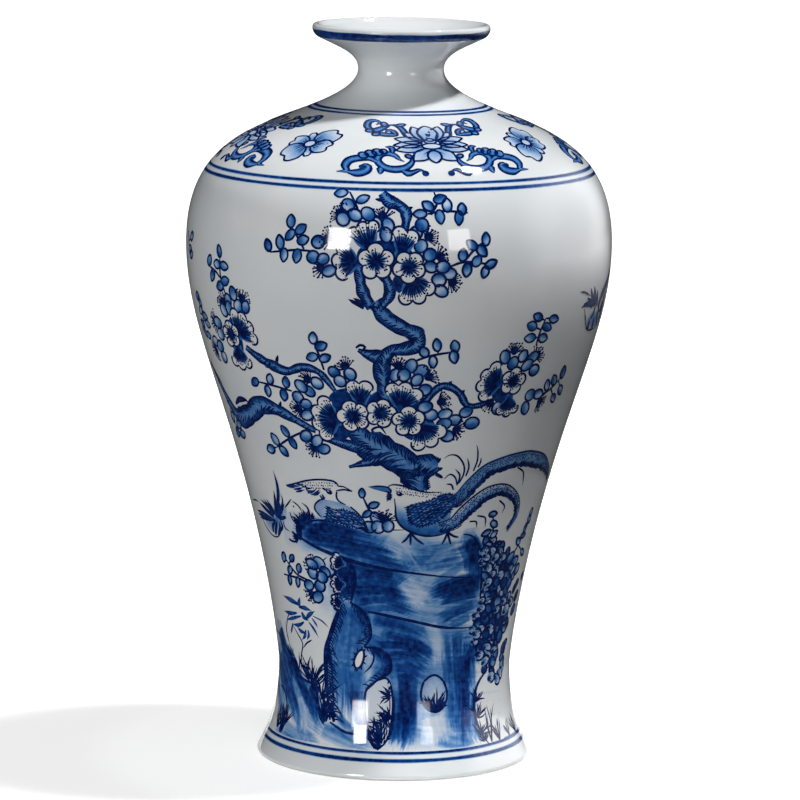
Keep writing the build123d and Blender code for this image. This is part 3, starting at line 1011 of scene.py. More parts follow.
rockLines = [  # pixels, widths in mm
    ([(301, 529), (307, 523), (314, 520.5), (325, 520.5), (345, 524), (366, 531), (372, 531)], 1.0),
    ([(369, 530), (380, 530), (395, 530), (404, 530)], 0.7),
    ([(301, 538), (318, 548), (340, 557), (355, 562), (380, 568), (420, 574), (450, 577), (478, 577)],
     [2.2, 2.2, 2.0, 1.3, 0.9, 1.4]),
    ([(463, 534), (472, 536), (478, 544), (480, 556), (482, 572), (481, 588), (479, 612)],
     [1.0, 1.8, 1.8, 1.4]),
    ([(368, 612), (380, 614), (412, 621), (440, 627), (458, 628), (473, 627)], [1.8, 1.5, 1.5, 1.2]),
    ([(480, 612), (476, 627), (473.5, 641), (479, 656), (488, 668)], 1.3),
    ([(487, 669), (478, 683), (474, 698), (475, 716), (481, 732), (489, 744)], 1.6),
    ([(371, 650), (374, 657), (371, 666), (364, 673)], 0.9),
    ([(330, 722), (345, 732), (360, 735), (372, 742)], 1.4),
    ([(276, 626), (282, 638), (288, 650), (295, 662), (297.5, 674), (305, 680), (312, 684), (317.5, 696),
      (319.5, 716), (324, 725)],
     1.5),
    ([(281, 684), (285.5, 692), (287, 706), (285.5, 719), (279, 730)], 1.1),
    ([(316, 563), (322, 561), (327, 557)], 0.7),
    ([(301.8, 502.7), (307.4, 507.5), (309.6, 515), (309, 520)], [0.6, 1.3, 1.1]),
    ([(289.9, 512), (292.4, 519), (297.8, 524)], 0.9),
    ([(289, 538.6), (292.4, 541), (297.6, 542)], 1.3),
    ([(366, 690), (364, 706), (366, 724), (372, 738)], 1.5),
    ([(388, 682), (392, 702), (390.5, 724), (385, 741), (378, 747)], [1.2, 2.6, 3.0, 3.4, 2.0]),
    ([(368, 728), (372, 739), (378, 746), (384, 740)], [1.4, 3.4, 4.4, 2.4]),
    ([(426, 706), (435, 710.6), (443, 706)], [1.2, 2.2, 1.2]),
]
rockEdges = [  # pixels, width, hatched side, hatch length in mm
    ([(343, 600), (336, 618), (329.5, 638), (326, 650), (326, 668), (327, 690), (330, 720)], 2.6, 1, 6.0),
    ([(329, 646), (329, 676), (331, 704), (334, 722)], [2.4, 5.0, 5.0, 3.6], 1, 6.5),
    ([(350, 602), (360, 609), (367, 618), (370, 628), (370, 638), (364, 647)], 1.9, -1, 5.2),
    ([(337, 560), (335, 578), (338, 600)], 1.8, 1, 5.0),
    ([(353, 566), (355, 582), (351, 602)], 1.8, -1, 5.0),
    ([(364, 647), (378, 649), (389, 658), (390, 671), (380, 678), (368, 689)], 1.7, -1, 4.0),
]
rockHoles = [  # rims in pixels, and the thin wash left inside
    ([(356, 668), (354, 661), (358, 652), (363, 650), (364, 657), (361, 666)], 0.0),
    ([(366, 691), (365, 705), (366, 722), (371, 738), (377, 748), (386, 741), (391, 724), (393, 702),
      (390, 684), (385, 678), (374, 683)],
     0.06),
    ([(434, 675), (443, 681), (447, 694), (444, 706), (436, 712), (426, 708), (421, 696), (424, 682)],
     0.20),
]
rockGrass = [  # root, blades, length in pixels, lean, spread
    ((389, 738), 11, 20, 150, 55), ((376, 740), 10, 24, 84, 40), ((383, 738), 10, 24, 112, 35),
    ((391, 718), 11, 19, 165, 55), ((391, 697), 8, 15, 170, 50), ((380, 744), 9, 18, 100, 60),
    ((388, 728), 8, 22, 140, 30), ((436, 709), 15, 22, 96, 62), ((430, 707), 8, 12, 120, 40),
    ((440, 708), 8, 13, 60, 40), ((313, 686), 15, 34, 82, 48), ((309, 680), 9, 30, 110, 35),
    ((322, 700), 10, 30, 80, 35), ((322, 718), 11, 34, 92, 30), ((326, 722), 8, 24, 110, 30),
    ((299, 672), 8, 22, 108, 35), ((291, 656), 6, 14, 70, 40), ((301, 523), 14, 13, 150, 55),
    ((298, 536), 12, 10, 200, 60), ((306, 518), 10, 11, 95, 60), ((302, 529), 10, 11, 185, 50),
    ((312, 519), 6, 8, 70, 40), ((477, 718), 10, 18, 65, 55), ((481, 735), 10, 18, 75, 60),
    ((475, 702), 8, 15, 60, 45), ((485, 741), 8, 14, 100, 60), ((500, 740), 7, 26, 95, 30),
    ((510, 736), 6, 20, 100, 30), ((492, 742), 6, 40, 84, 14), ((516, 732), 5, 22, 105, 25),
    ((494, 672), 9, 10, 270, 50), ((281, 730), 12, 28, 92, 40), ((277, 727), 9, 26, 90, 40),
    ((284, 718), 8, 20, 100, 30),
]
bamboo = {  # blades from base to tip, with widths in mm, then stems
    "blades": [
        ([(300, 605), (291, 600), (282.7, 595)], 3.0), ([(300, 608), (299, 603), (300, 597)], 2.6),
        ([(297, 613), (290, 613), (284, 610.5)], 2.4), ([(299, 607), (305, 608), (312, 611)], 2.6),
        ([(306, 620), (309, 615), (315, 611)], 2.6), ([(301, 616), (293, 618), (286, 620)], 2.0),
        ([(313, 616), (322, 621), (330, 629)], 1.0), ([(309, 622), (314, 629), (319, 638)], 1.6),
        ([(306, 633), (301, 631), (297, 626)], 2.2), ([(306, 630), (305, 636), (302, 640)], 2.0),
        ([(308, 630), (309, 635), (307, 640)], 1.8), ([(302, 612), (304, 617), (309, 621)], 2.8),
        ([(293, 623), (292, 629), (291, 634)], 1.6), ([(304, 622), (299, 625), (292, 624)], 2.2),
        ([(312, 618), (316, 624), (318, 628)], 1.4), ([(291, 612), (288, 617), (287, 628)], 1.0),
    ],
    "stems": [[(293, 625), (298, 634), (302.8, 644), (301.5, 656), (300.8, 676)],
              [(312, 640), (307, 643), (303.5, 648)], [(286, 621), (287, 632), (290, 645)]],
}
leftShrub = {
    "heart": (330, 578),
    "blossoms": [],
    "fans": [((343, 564), 14, 110, 220, 3), ((343, 584), 14, 130, 245, 3), ((341, 602), 11, 130, 250, 3)],
    "buds": [(319, 563), (325, 572), (313, 573), (322, 577), (309, 585), (320, 586), (318, 597),
             (312, 564)],
    "tufts": [(311, 596), (309, 563)],
}
shrub = {  # the tall bush at the right of the rock
    "spine": [(491, 542), (500, 562), (503, 582), (498, 602), (491, 622), (489, 642), (493, 662),
              (495, 678)],
    "halfWidth": [6, 15, 19, 17, 17, 15, 11, 5],  # pixels
    "rowStep": 7.2,
    "columnStep": 7.4,
    "style": {"length": 5.6, "width": 4.4, "dark": 0.96, "pale": 0.44, "line": 1.25},
    "open": (0.40, 0.022),  # share of florets left white, and its fall for each pixel to the right
}
shrubSprays = [
    ([(308, 580), (296, 573), (284, 556)], [(284, 557), (292, 558), (290, 570), (299, 568)]),
    ([(310, 584), (298, 578), (284, 574)], [(290, 580), (298, 582)]),
    ([(493, 546), (493, 532), (493, 514)],
     [(493, 514), (494, 524), (486, 533), (494, 534), (488, 545), (498, 544)]),
    ([(508, 560), (518, 545), (530, 515)],
     [(531, 512), (529, 519), (525, 528), (523, 535), (518, 541), (522, 552)]),
    ([(378, 529), (371, 514), (362, 495)], [(362, 493), (374, 505), (367, 514)]),
]
ledgeGrowth = {  # between the two birds
    "heart": (382, 534),
    "buds": [(376, 518), (369, 527), (378, 527), (388, 526)],
    "tuft": (385, 516),
}
shades = [  # dark filling behind the thickest growth: place, half width and half height in pixels
    ((385, 256), 27, 15), ((408, 283), 15, 12), ((352, 402), 24, 15), ((395, 402), 26, 15),
    ((418, 428), 17, 14), ((338, 424), 14, 18), ((236, 338), 10, 22), ((504, 388), 14, 16),
    ((502, 580), 16, 26), ((493, 622), 14, 34), ((345, 580), 6, 20), ((493, 655), 9, 16),
    ((305.5, 520), 9, 6), ((299, 532), 4, 9), ((302, 526), 5, 4), ((314, 690), 7, 6), ((283, 640), 5, 14),
    ((282, 726), 5, 7), ((324, 712), 4, 12),
]


def shade(place, halfWidth, halfHeight, layer=1.6):
    at = tuple(onWall(place)[0])
    wide, tall = 2 * halfWidth / brushwork["pixelsPerMm"], 2 * halfHeight / brushwork["pixelsPerMm"]
    fill("shadeWash", at, oval(wide, tall), lambda share, angle: 0.97 - 0.10 * share, layer, 10)


def bush():
    # rows of small florets up a spine: white ones with dots, blue ones, and dark gaps between
    b = shrub
    spine = smooth(b["spine"], b["rowStep"])
    for i, (foot, half) in enumerate(zip(spine, along(b["halfWidth"], len(spine)))):
        for across in np.arange(-half + b["columnStep"] / 2 * (i % 2), half + 1, b["columnStep"]):
            place = foot + (across, 0) + dice.uniform(-1.4, 1.4, 2)
            at = tuple(onWall(place)[0])
            turn = 90 - 2.2 * across + dice.uniform(-45, 45)
            layer = 4 + 0.8 * (i % 4) + 0.3 * dice.uniform()
            size = dice.uniform(0.8, 1.2)
            long, wide = b["style"]["length"] * size, b["style"]["width"] * size
            if dice.uniform() < b["open"][0] - b["open"][1] * across:
                turn = dice.uniform(-35, 30)
                way, petal = heading(turn), oval(long * 1.1, wide * 1.15, turn)
                fill("petalWhite", at, petal, lambda share, angle: 0.30 - 0.22 * share * np.cos(angle),
                     layer, 4)
                edge("blossomLines", at, petal, b["style"]["line"], layer + 0.4, start=-115, end=115)
                for spread in (-34, -12, 12, 34):
                    vein = 0.62 * long * heading(turn + spread) * dice.uniform(0.4, 1.0)
                    stroke("blossomLines", at, [-0.55 * long * way, vein - 0.5 * long * way], 0.8,
                           layer=layer + 0.5, tips=(1.0, 0.3))
                for _ in range(dice.integers(2, 5)):
                    dot("blossomLines", at, dice.uniform(-1.2, 1.2, 2), 0.36, layer + 0.6)
            else:
                leaf(at, turn, layer, length=long, width=wide, point=0.3, style=b["style"])


def rock():
    washRock()
    for i, (pixels, ink) in enumerate(rockHoles):
        hole(pixels, ink, hatched=i == 0)
    for pixels, width in rockLines:
        line("rockLines", pixels, width, layer=3, tips=(0.6, 0.4))
    for pixels, width, hand, length in rockEdges:
        hatchedEdge(pixels, width, hand, length, layer=3)
    for place, count, length, lean, spread in rockGrass:
        grass(place, count, length, lean, spread, layer=5)
    for pixels, width in bamboo["blades"]:
        line("leafLines", pixels, [0.5 * width, width, 0.3 * width], ink=[0.9, 0.72, 0.86], layer=3,
             tips=(0.8, 0.1), rows=2)
    for pixels in bamboo["stems"]:
        line("rockLines", pixels, 0.9, layer=3)
    for twig, leaves in shrubSprays:
        spray(twig, leaves, layer=4, length=5.2, width=3.3)
    for place, halfWidth, halfHeight in shades:
        shade(place, halfWidth, halfHeight)
    cluster(leftShrub, layer=4)
    bush()
    buds(ledgeGrowth["buds"], ledgeGrowth["heart"], layer=5)
    tuft(ledgeGrowth["tuft"], ledgeGrowth["heart"], layer=5)


# Birds: a pair of long-tailed pheasants on the rock, and small birds on the wing

pheasant = {
    "back": [(387, 487.5), (391.8, 484.7), (400.8, 485.3), (411, 488.6), (420, 491), (429, 492.4),
             (442, 491.8)],
    "breast": [(394.4, 498.3), (395.4, 507.3), (396.3, 517.7), (402, 526.7), (413.8, 533.2), (426.7, 536),
               (439.7, 535), (450, 531)],
    "beak": [(368.5, 486.8), (378.8, 486), (388.5, 487.6), (391, 492), (380, 490.6)],
    "rump": [(452, 500), (450, 520)],
    "eye": (399.3, 493.7),
    "ruff": (392, 496),
    "wing": [(406.7, 507.3), (416.4, 503.4), (429.3, 500.2), (442.3, 494.4), (452.6, 493.7), (455.2, 498.3),
             (452.6, 507.3), (444.9, 516.4), (434.5, 522.9), (420.3, 526.7), (409.9, 522.9),
             (407.3, 515.1)],
    "upperTail": ([(450, 503), (461, 495.7), (472, 483.4), (486.3, 470.4), (501.8, 463.3), (517.4, 458.8),
                   (530.3, 457.5), (542, 460.7), (547.8, 469.8), (547, 479)],
                  [12, 14, 14, 13, 13, 14, 14, 12, 7, 2]),
    "lowerTail": ([(438, 527), (452.6, 522.9), (463, 512.5), (475.9, 500.8), (488.9, 491.8), (501.8, 488.5),
                   (510.9, 491.8), (516.7, 499.5), (516.7, 512.5), (510.9, 524.1), (506.4, 531.3)],
                  [9, 12, 13, 13, 12, 10, 9, 7, 6, 4, 2]),
    "curls": [[(459, 483), (463.6, 473.7), (463.6, 464.6), (457.8, 456.2), (450, 454.9), (444.2, 458.4)],
              [(465.6, 476.2), (468.8, 467.2), (467.5, 458.1)],
              [(473.3, 471), (477.2, 460.7), (477.8, 450.4), (476.6, 445)],
              [(477.9, 467.2), (480.5, 462), (481.1, 457.6)], [(457.8, 484), (459.7, 475), (455.2, 469)],
              [(457.2, 485.3), (455.2, 477.5), (450, 474.3), (444.2, 478.8)],
              [(453.3, 489.8), (451.3, 484.7), (446, 484)],
              [(517.4, 467.2), (523.2, 472.4), (522.5, 485.3)],
              [(499.2, 500.2), (504.4, 506), (501.8, 513)], [(477.2, 515.7), (485, 517.7), (485, 526.7)],
              [(469.5, 521.6), (475.9, 521.6), (476.6, 527.4)]],
    "feet": [((410.6, 533), [(401.5, 543), (410.4, 545), (424, 544.4)]),
             ((447.5, 532), [(441.6, 544.2), (450.7, 544.2), (458.5, 537.2)])],
}
lookingBack = {
    "lines": [  # crest and upper beak, lower beak, throat, back of the wing, nape
        [(286.3, 485.3), (294.7, 483.5), (304.2, 481), (313.8, 479.6), (323.4, 479.6), (333, 481),
         (337, 483.6), (338.5, 486), (344, 486.8), (352.3, 491.2)],
        [(352.3, 491.2), (344, 489.6), (336, 490.7)],
        [(336.9, 491.5), (336.4, 496.3), (338.8, 501), (345.7, 504.7)],
        [(350.5, 506.7), (357.7, 513), (364, 521), (368, 529.8)],
        [(325, 498.7), (319.4, 500.3), (315.4, 504.3), (315, 509), (317.8, 513), (322, 517.4)],
    ],
    "crest": [  # separate feathers that hang from the crest
        [(287, 486), (292, 487), (296, 488)], [(290, 485), (296, 486), (300, 486)],
        [(296, 491.8), (300, 491), (305, 489.6)], [(294, 489.4), (299, 488.6), (303, 487.4)],
        [(296, 484), (301, 484.6), (304, 484.4)], [(306, 487.6), (308, 491), (315, 490.6)],
        [(307.6, 493), (312, 492), (317, 488.6)], [(311, 494.6), (315, 493.6), (320, 489.4)],
        [(314, 495.4), (318, 493.6), (320.6, 491)], [(305, 484.6), (307, 488), (312, 488.4)],
        [(301, 483.4), (303, 486.4), (307, 487)], [(320, 495), (322, 498), (324.6, 499)],
        [(322, 494), (324, 497.4), (325.6, 498)],
    ],
    "eye": (329.3, 491.8),
    "brow": [(322.4, 488), (325, 489.4), (328, 491.6)],
    "wash": [(324, 500), (316, 506), (319, 516), (340, 524), (366, 530), (357, 512), (340, 503)],
    "wing": [(327.4, 506.7), (334.5, 509.8), (341.7, 509), (349.7, 511.4), (356, 513.8), (361.6, 520),
             (367.4, 529.4), (360, 528.2), (349.7, 526.6), (337.7, 522.6), (325.8, 519.4), (326.6, 513.8)],
}
smallBird = {  # on the wing, left of the rock; feathers with their widths in mm
    "feathers": [([(273.1, 470), (276.7, 482), (278.3, 494), (277.5, 511)], 2.4),
                 ([(273.9, 490), (275.4, 502), (276, 516)], 2.4),
                 ([(280.7, 493), (282.7, 502), (279, 516)], 1.4),
                 ([(277, 498), (279.6, 506), (277.4, 517)], 2.2),
                 ([(284.4, 503), (282, 510), (278, 518)], 2.0),
                 ([(259.6, 502), (266, 509), (274, 517)], 2.6),
                 ([(260.4, 498.7), (267.5, 506), (274, 515.5)], 1.9),
                 ([(263.6, 498.7), (269, 506), (274.4, 515)], 1.7),
                 ([(266.3, 498.7), (270.4, 506), (275, 514)], 1.7),
                 ([(269.5, 502.7), (272.4, 508), (275.6, 514)], 1.6),
                 ([(257.6, 509.8), (262.8, 513), (272.3, 518.6)], 2.6),
                 ([(258.4, 513), (265.2, 517), (273.1, 519.4)], 2.4),
                 ([(260.4, 517), (267.5, 518.6), (275, 520)], 2.2),
                 ([(276.3, 520), (273.1, 526), (273.9, 532)], 2.0),
                 ([(277.5, 520.6), (276.3, 527.4), (275.9, 534.6)], 2.2),
                 ([(279.5, 521), (280.3, 528), (278.7, 535.4)], 2.0),
                 ([(280, 519), (282.6, 526), (281.5, 531)], 1.6),
                 ([(276, 516), (281, 518), (286, 517)], 2.2)],
    "wash": [(265, 518), (270, 529), (278, 533), (284, 524), (287, 510), (282, 504), (276, 514)],
    "lines": [[(262.8, 517.8), (266, 525.8), (272.3, 534.6), (277.9, 536.6), (281.9, 531.4)],
              [(285.1, 507.5), (288.4, 503), (291.5, 498.7)], [(292.3, 501), (298.6, 505.9), (302.6, 513)],
              [(283.5, 521), (285.1, 527.4), (289.9, 531.4)],
              [(253.2, 499.5), (256, 500), (258.8, 501.9)]],
    "eye": (293.7, 506.3),
}
edgeBird = {  # flying round the right side
    "feathers": [([(610.6, 263), (607.2, 280), (601.5, 295), (598, 307)], 5.0),
                 ([(605, 290), (603, 300), (599, 312)], 4.4), ([(591, 287.8), (592, 295), (594, 304)], 2.4),
                 ([(594.6, 286), (595, 294), (595.6, 304)], 2.6),
                 ([(597.4, 289.6), (597.2, 296), (597, 305)], 2.4),
                 ([(587, 297.6), (591, 301), (595, 305)], 2.2),
                 ([(581.3, 307.5), (586.5, 304), (594, 304.6)], 3.0),
                 ([(595.7, 303.4), (593.4, 312.6), (590, 318.4)], 2.4),
                 ([(599.2, 304.6), (598, 311), (596, 318)], 3.0),
                 ([(602.6, 302), (601, 310), (598.6, 319)], 3.6),
                 ([(589.4, 318), (588.4, 323), (587.6, 329)], 2.8),
                 ([(593.4, 318.6), (592.6, 323), (592, 328)], 3.0),
                 ([(597, 316), (596.4, 321), (595.4, 326.5)], 3.2),
                 ([(600, 313), (599, 318), (597.6, 323)], 3.2)],
    "lines": [[(580.7, 291.9), (585.3, 292.5), (590, 295.5)],
              [(584.2, 309), (585.3, 318.4), (586.5, 329), (591, 329.6), (595.4, 326.6)]],
    "eye": (591, 307.6),
    "wash": [(588, 317), (588, 328), (596, 325), (600, 314), (594, 311)],
}
plumageStyle = {
    "dark": 0.97,  # ink of a wing
    "pale": 0.46,  # ink of the light dashes on it
    "dash": 1.9,  # mm from one dash to the next
    "tail": [0.50, 0.38, 0.34, 0.42, 0.7],  # ink along a tail feather
    "tailEdge": 0.56,
}


def isInside(outline, spot):
    # whether a place lies inside a drawn outline
    x, y = outline.T
    x2, y2 = np.roll(outline, -1, axis=0).T
    meets = (x2 - x) * (spot[1] - y) / (y2 - y + 1e-12) + x
    crossing = ((y > spot[1]) != (y2 > spot[1])) & (spot[0] < meets)
    return crossing.sum() % 2 == 1


def softBody(pixels, ink, layer, sheet="birdWash"):
    # a wash inside an outline
    at, points = flat(pixels)
    fill(sheet, at, region(points), ink, layer, 12)


def plumage(pixels, turn, layer):
    # a dark wing with short curved dashes left lighter, and loose ends along its rim
    s = plumageStyle
    at, points = flat(pixels)
    softBody(pixels, lambda share, angle: s["dark"] - 0.12 * share, layer)
    low, high = points.min(axis=0), points.max(axis=0)
    way, bow = heading(turn), heading(turn + 90)
    reach = np.linalg.norm(high - low) / 2
    for i, u in enumerate(np.arange(-reach, reach, s["dash"])):
        for v in np.arange(-reach + s["dash"] / 2 * (i % 2), reach, s["dash"] * 0.8):
            spot = (low + high) / 2 + u * way + v * bow + dice.uniform(-0.4, 0.4, 2)
            if isInside(points * 0.94, spot):
                hook = dice.uniform(-0.5, 0.5)
                dash = [spot - 0.75 * way, spot + hook * bow * 0.6, spot + 0.75 * way + hook * bow]
                stroke("birdPale", at, dash, 0.5, ink=s["pale"] * dice.uniform(0.7, 1.3), layer=layer + 1)
    rim = smooth(points, 1.6, closed=True)
    for spot in rim:
        out = spot / np.linalg.norm(spot)
        stroke("birdLines", at, [spot * 0.9, spot + out * 0.9 + 0.7 * way * dice.uniform(-1, 1)], 0.8,
               layer=layer + 0.5, tips=(1.0, 0.1))


def tail(pixels, widths, layer, shaft):
    # a long tail feather: mid blue, navy edges, rows of dots, dark hatching and a fringe on its under side
    at, points = flat(pixels)
    wide = along(widths, 40) / brushwork["pixelsPerMm"]
    stroke("birdWash", at, points, wide, ink=plumageStyle["tail"], layer=layer, rows=5,
           edgeInk=plumageStyle["tailEdge"], tips=(0.9, 0.6))
    step = 0.9  # mm from one row of dots to the next
    path = smooth(points, step)
    half = along(wide, len(path)) / 2
    aside = sides(path)
    for hand in (-1, 1):
        stroke("birdLines", at, path + hand * half[:, None] * aside, 0.95, layer=layer + 1)
    if shaft:
        for lift in (0.72, 0.42):
            stroke("birdPale", at, (path + lift * half[:, None] * aside)[4:-12], 0.5, ink=0.10,
                   layer=layer + 1)
    for i in range(1, len(path) - 2):
        for share in (-0.2, 0.2, 0.6) if i % 2 else (0.0, 0.4):
            spot = path[i] + (share + dice.uniform(-0.1, 0.1)) * half[i] * aside[i]
            if half[i] > 1.4 and dice.uniform() < 0.75:
                dot("birdLines", at, spot, 0.42, layer + 1.2)
        rim = path[i] - half[i] * aside[i]
        ahead = (path[i + 1] - path[i]) / step
        reach = dice.uniform(0.6, 1.1)
        fringe = [rim, rim + reach * (ahead - 1.1 * aside[i]), rim + reach * (2.6 * ahead - 1.6 * aside[i])]
        stroke("birdLines", at, fringe, 0.65, layer=layer + 0.8, tips=(1.0, 0.1))
        hatch = [rim, rim + half[i] * dice.uniform(0.3, 0.9) * aside[i] + 0.8 * ahead]
        stroke("birdLines", at, hatch, 0.75, layer=layer + 0.9, tips=(1.0, 0.1))


def eye(place, length, layer):
    # a dark almond with a point of light
    at = tuple(onWall(place)[0])
    fill("birdLines", at, oval(length, 0.78 * length, -25), 1.0, layer, 6)
    fill("birdPale", at, oval(0.3 * length, 0.2 * length, -25, centre=(-0.12 * length, 0.12 * length)),
         0.15, layer + 0.6, 2)


def speckle(start, end, count, width, layer):
    # rows of small dots on a head or a nape
    for share in np.linspace(0, 1, count):
        spot = np.array(start) + share * (np.array(end) - np.array(start))
        spot = spot + dice.uniform(-0.5, 0.5, 2) * width
        dot("birdLines", tuple(onWall(spot)[0]), (0, 0), dice.uniform(0.26, 0.44), layer)


def birds():
    p = pheasant

    def shadedBreast(share, angle):
        return 0.74 * np.clip(share * 1.3 - 0.2, 0, 1) * np.clip(-np.sin(angle) + 0.25, 0, 1)

    softBody(p["back"] + p["rump"] + p["breast"][::-1], shadedBreast, 5)
    for pixels in p["curls"]:
        line("birdLines", pixels, 0.95, layer=6, tips=(0.9, 0.3))
    tail(*p["upperTail"], layer=7, shaft=False)
    tail(*p["lowerTail"], layer=10, shaft=True)
    line("birdLines", p["back"], 1.0, layer=15)
    line("birdLines", p["breast"], 1.1, layer=15)
    plumage(p["wing"], 20, 14)
    softBody(p["beak"], 0.55, 14)
    line("birdLines", p["beak"], 0.9, layer=15)
    for root, toes in p["feet"]:
        for toe in toes:
            line("birdLines", [root, (np.array(root) + toe) / 2 + (0, 1.2), toe], 1.2, layer=15,
                 tips=(1.0, 0.5))
    eye(p["eye"], 3.2, 15)
    for rise, end in ((0, 441), (3, 436), (5.5, 428)):
        speckle((397, 487.6 + rise), (end, 493 + rise * 0.7), 16, 1.0, 15)
    grass(p["ruff"], 8, 8, 185, 55, layer=15, sheet="birdLines", width=0.9)
    b = lookingBack
    softBody(b["wash"], lambda share, angle: 0.08 + 0.24 * share, 6)
    plumage(b["wing"], -25, 7)
    for pixels in b["lines"]:
        line("birdLines", pixels, 1.0, layer=9, tips=(0.8, 0.5))
    for pixels in b["crest"]:
        line("birdLines", pixels, [0.8, 1.3, 0.6], layer=8, ink=0.9, tips=(0.6, 0.2))
    for rise in (0, 2.6, 5.2):
        speckle((303 + rise, 482.6 + rise), (335 - rise, 483 + rise), 13, 0.9, 9)
    line("birdLines", b["brow"], 1.1, layer=9)
    eye(b["eye"], 3.4, 10)
    for bird in (smallBird, edgeBird):
        softBody(bird["wash"], lambda share, angle: 0.52 - 0.36 * share, 5)
        for pixels, width in bird["feathers"]:
            line("birdLines", pixels, [0.4 * width, width, width], ink=[1.0, 0.9, 0.95], layer=7,
                 tips=(0.2, 0.6))
        for pixels in bird["lines"]:
            line("birdLines", pixels, 0.9, layer=7)
        dot("birdLines", tuple(onWall(bird["eye"])[0]), (0, 0), 0.55, 8)


# the front, and the same picture mirrored on the back
for face, turn, side in (("", 0.0, 1), ("Back", 180.0, -1)):
    placing.update(face=face, turn=turn, side=side)
    prunus()
    rock()
    birds()
    print("picture drawn", face)
placing.update(face="", turn=0.0, side=1)


# Shoulder band: four lotus medallions with scrolls, four rosettes between them

medallion = {  # left half, in pixels of the photograph; it is mirrored on the axis
    "axis": (432.3, 148),  # a pixel on the front medallion's middle line
    "repeat": 4,
    "outline": 1.2,  # mm
    "scrolls": [  # pixels, widths in mm
        ([(407, 138), (403, 130.5), (397, 126), (388, 124.8)], [2.6, 2.6, 2.4, 1.4]),
        ([(390, 125), (383, 128), (374, 130.5), (367.5, 127), (369, 121.8), (375.5, 120.5), (379.7, 122.8),
          (376, 124.8)],
         [1.4, 3.2, 3.6, 3.2, 2.8, 2.6, 2.4, 1.2]),
        ([(373, 131.5), (380, 134), (388, 134.8), (395.5, 135), (392.5, 131.2), (388, 130.4),
          (385.5, 132.6)],
         [1.6, 3.4, 3.2, 1.8, 2.6, 2.6, 1.4]),
        ([(413, 158), (411.6, 163), (405, 168), (394, 169.4), (383.6, 166.8), (377.5, 160.5), (380, 155.4),
          (387.4, 153.5), (395, 155.6), (399, 159.2), (404.5, 161.8)],
         [2.6, 3.2, 3.4, 3.6, 3.6, 3.4, 3.0, 2.8, 4.2, 3.8, 0.8]),
        ([(377, 162), (368.3, 158), (358, 158), (349, 160.5), (345, 166), (346.5, 170.5), (336.4, 171.4)],
         [2.8, 3.6, 3.8, 3.6, 3.4, 3.2, 0.8]),
        ([(347, 171.5), (357, 173), (366, 170.5), (368.3, 166.5), (364.4, 165), (360.5, 166.5)],
         [2.4, 3.6, 3.8, 3.4, 2.8, 2.0]),
        ([(401, 169.5), (407.8, 173.2), (414, 172), (419.3, 170), (425, 171.5)], [2.2, 3.4, 1.8, 1.2, 1.6]),
        ([(381, 168), (379.7, 174.5)], [3.8, 0.8]),
        ([(392.5, 152.5), (391.5, 148), (385, 147)], [2.4, 2.6, 0.8]),
    ],
    "leaves": [  # base, tip, width in mm
        ((367, 157.5), (359.5, 152.8), 5.0), ((372, 157), (369, 150.2), 5.6),
        ((377, 155.5), (378, 149), 5.2), ((382, 153.5), (385, 149.6), 3.6),
        ((385, 127), (383.6, 122.2), 3.2), ((396, 126.4), (405, 124.4), 2.6),
        ((373, 130), (366, 131.4), 3.2), ((379, 133), (373, 135.4), 3.2),
        ((412, 158), (405.5, 155.2), 2.8),
    ],
    "commas": [((425.7, 173.6), 1.8), ((361.8, 167), 1.6)],
    "petals": [
        ((421, 140), (404, 133.2), 5.4), ((422, 142), (394.5, 139), 6.0), ((422, 144), (393.5, 145.7), 5.4),
        ((424, 147.4), (396, 150.6), 6.0), ((431.5, 150), (413.8, 161), 7.4),
        ((424.5, 140.5), (411.5, 127.2), 7.0),
    ],
    "middle": [((433, 151), (435.3, 163), 6.6), ((430.5, 141.5), (426.6, 126.6), 9.6),
               ((431, 144), (430, 139), 6.0)],
    "heart": (4.6, 9.4),  # mm
    "heartPlace": (431.6, 146.5),
}
rosette = {
    "place": (310, 143.8),
    "radius": 12.6,  # mm
    "petals": {172: 1.0, 50: 1.24, -10: 1.0, 232: 1.24},  # degrees and lengths of the large ones
    "between": [112, 20, 292, 203],  # small ones under them
    "outline": 1.15,
}


def scroll(at, points, widths, layer):
    # a curling band: navy edge, mid blue body, paler along its middle
    widths = np.array(widths)
    stroke("shoulderLines", at, points, widths + medallion["outline"], layer=layer, tips=(0.6, 0.3))
    stroke("shoulderWash", at, points, np.maximum(0.4, widths - medallion["outline"]), ink=0.42,
           layer=layer + 1.2, tips=(0.6, 0.3), rows=2, edgeInk=0.70)


def shoulderPetal(at, base, tip, width, layer, pale=0.10, dark=0.36, point=0.7):
    # dark at its base, pale at its tip
    base, tip = np.array(base), np.array(tip)
    turn = math.degrees(math.atan2(*(tip - base)[::-1]))
    form = oval(np.linalg.norm(tip - base), width, turn, point, centre=(base + tip) / 2)

    def tone(share, angle):
        return dark + (pale - dark) * (0.5 + 0.5 * share * np.cos(angle))

    fill("shoulderWash", at, form, tone, layer, 4)
    edge("shoulderLines", at, form, medallion["outline"], layer + 0.8)


def localTo(axis, pixels):
    spots = onWall(pixels)
    return np.stack([(spots[:, 0] - axis[0]) * radiusAt(spots[:, 1]), spots[:, 1] - axis[1]], 1)


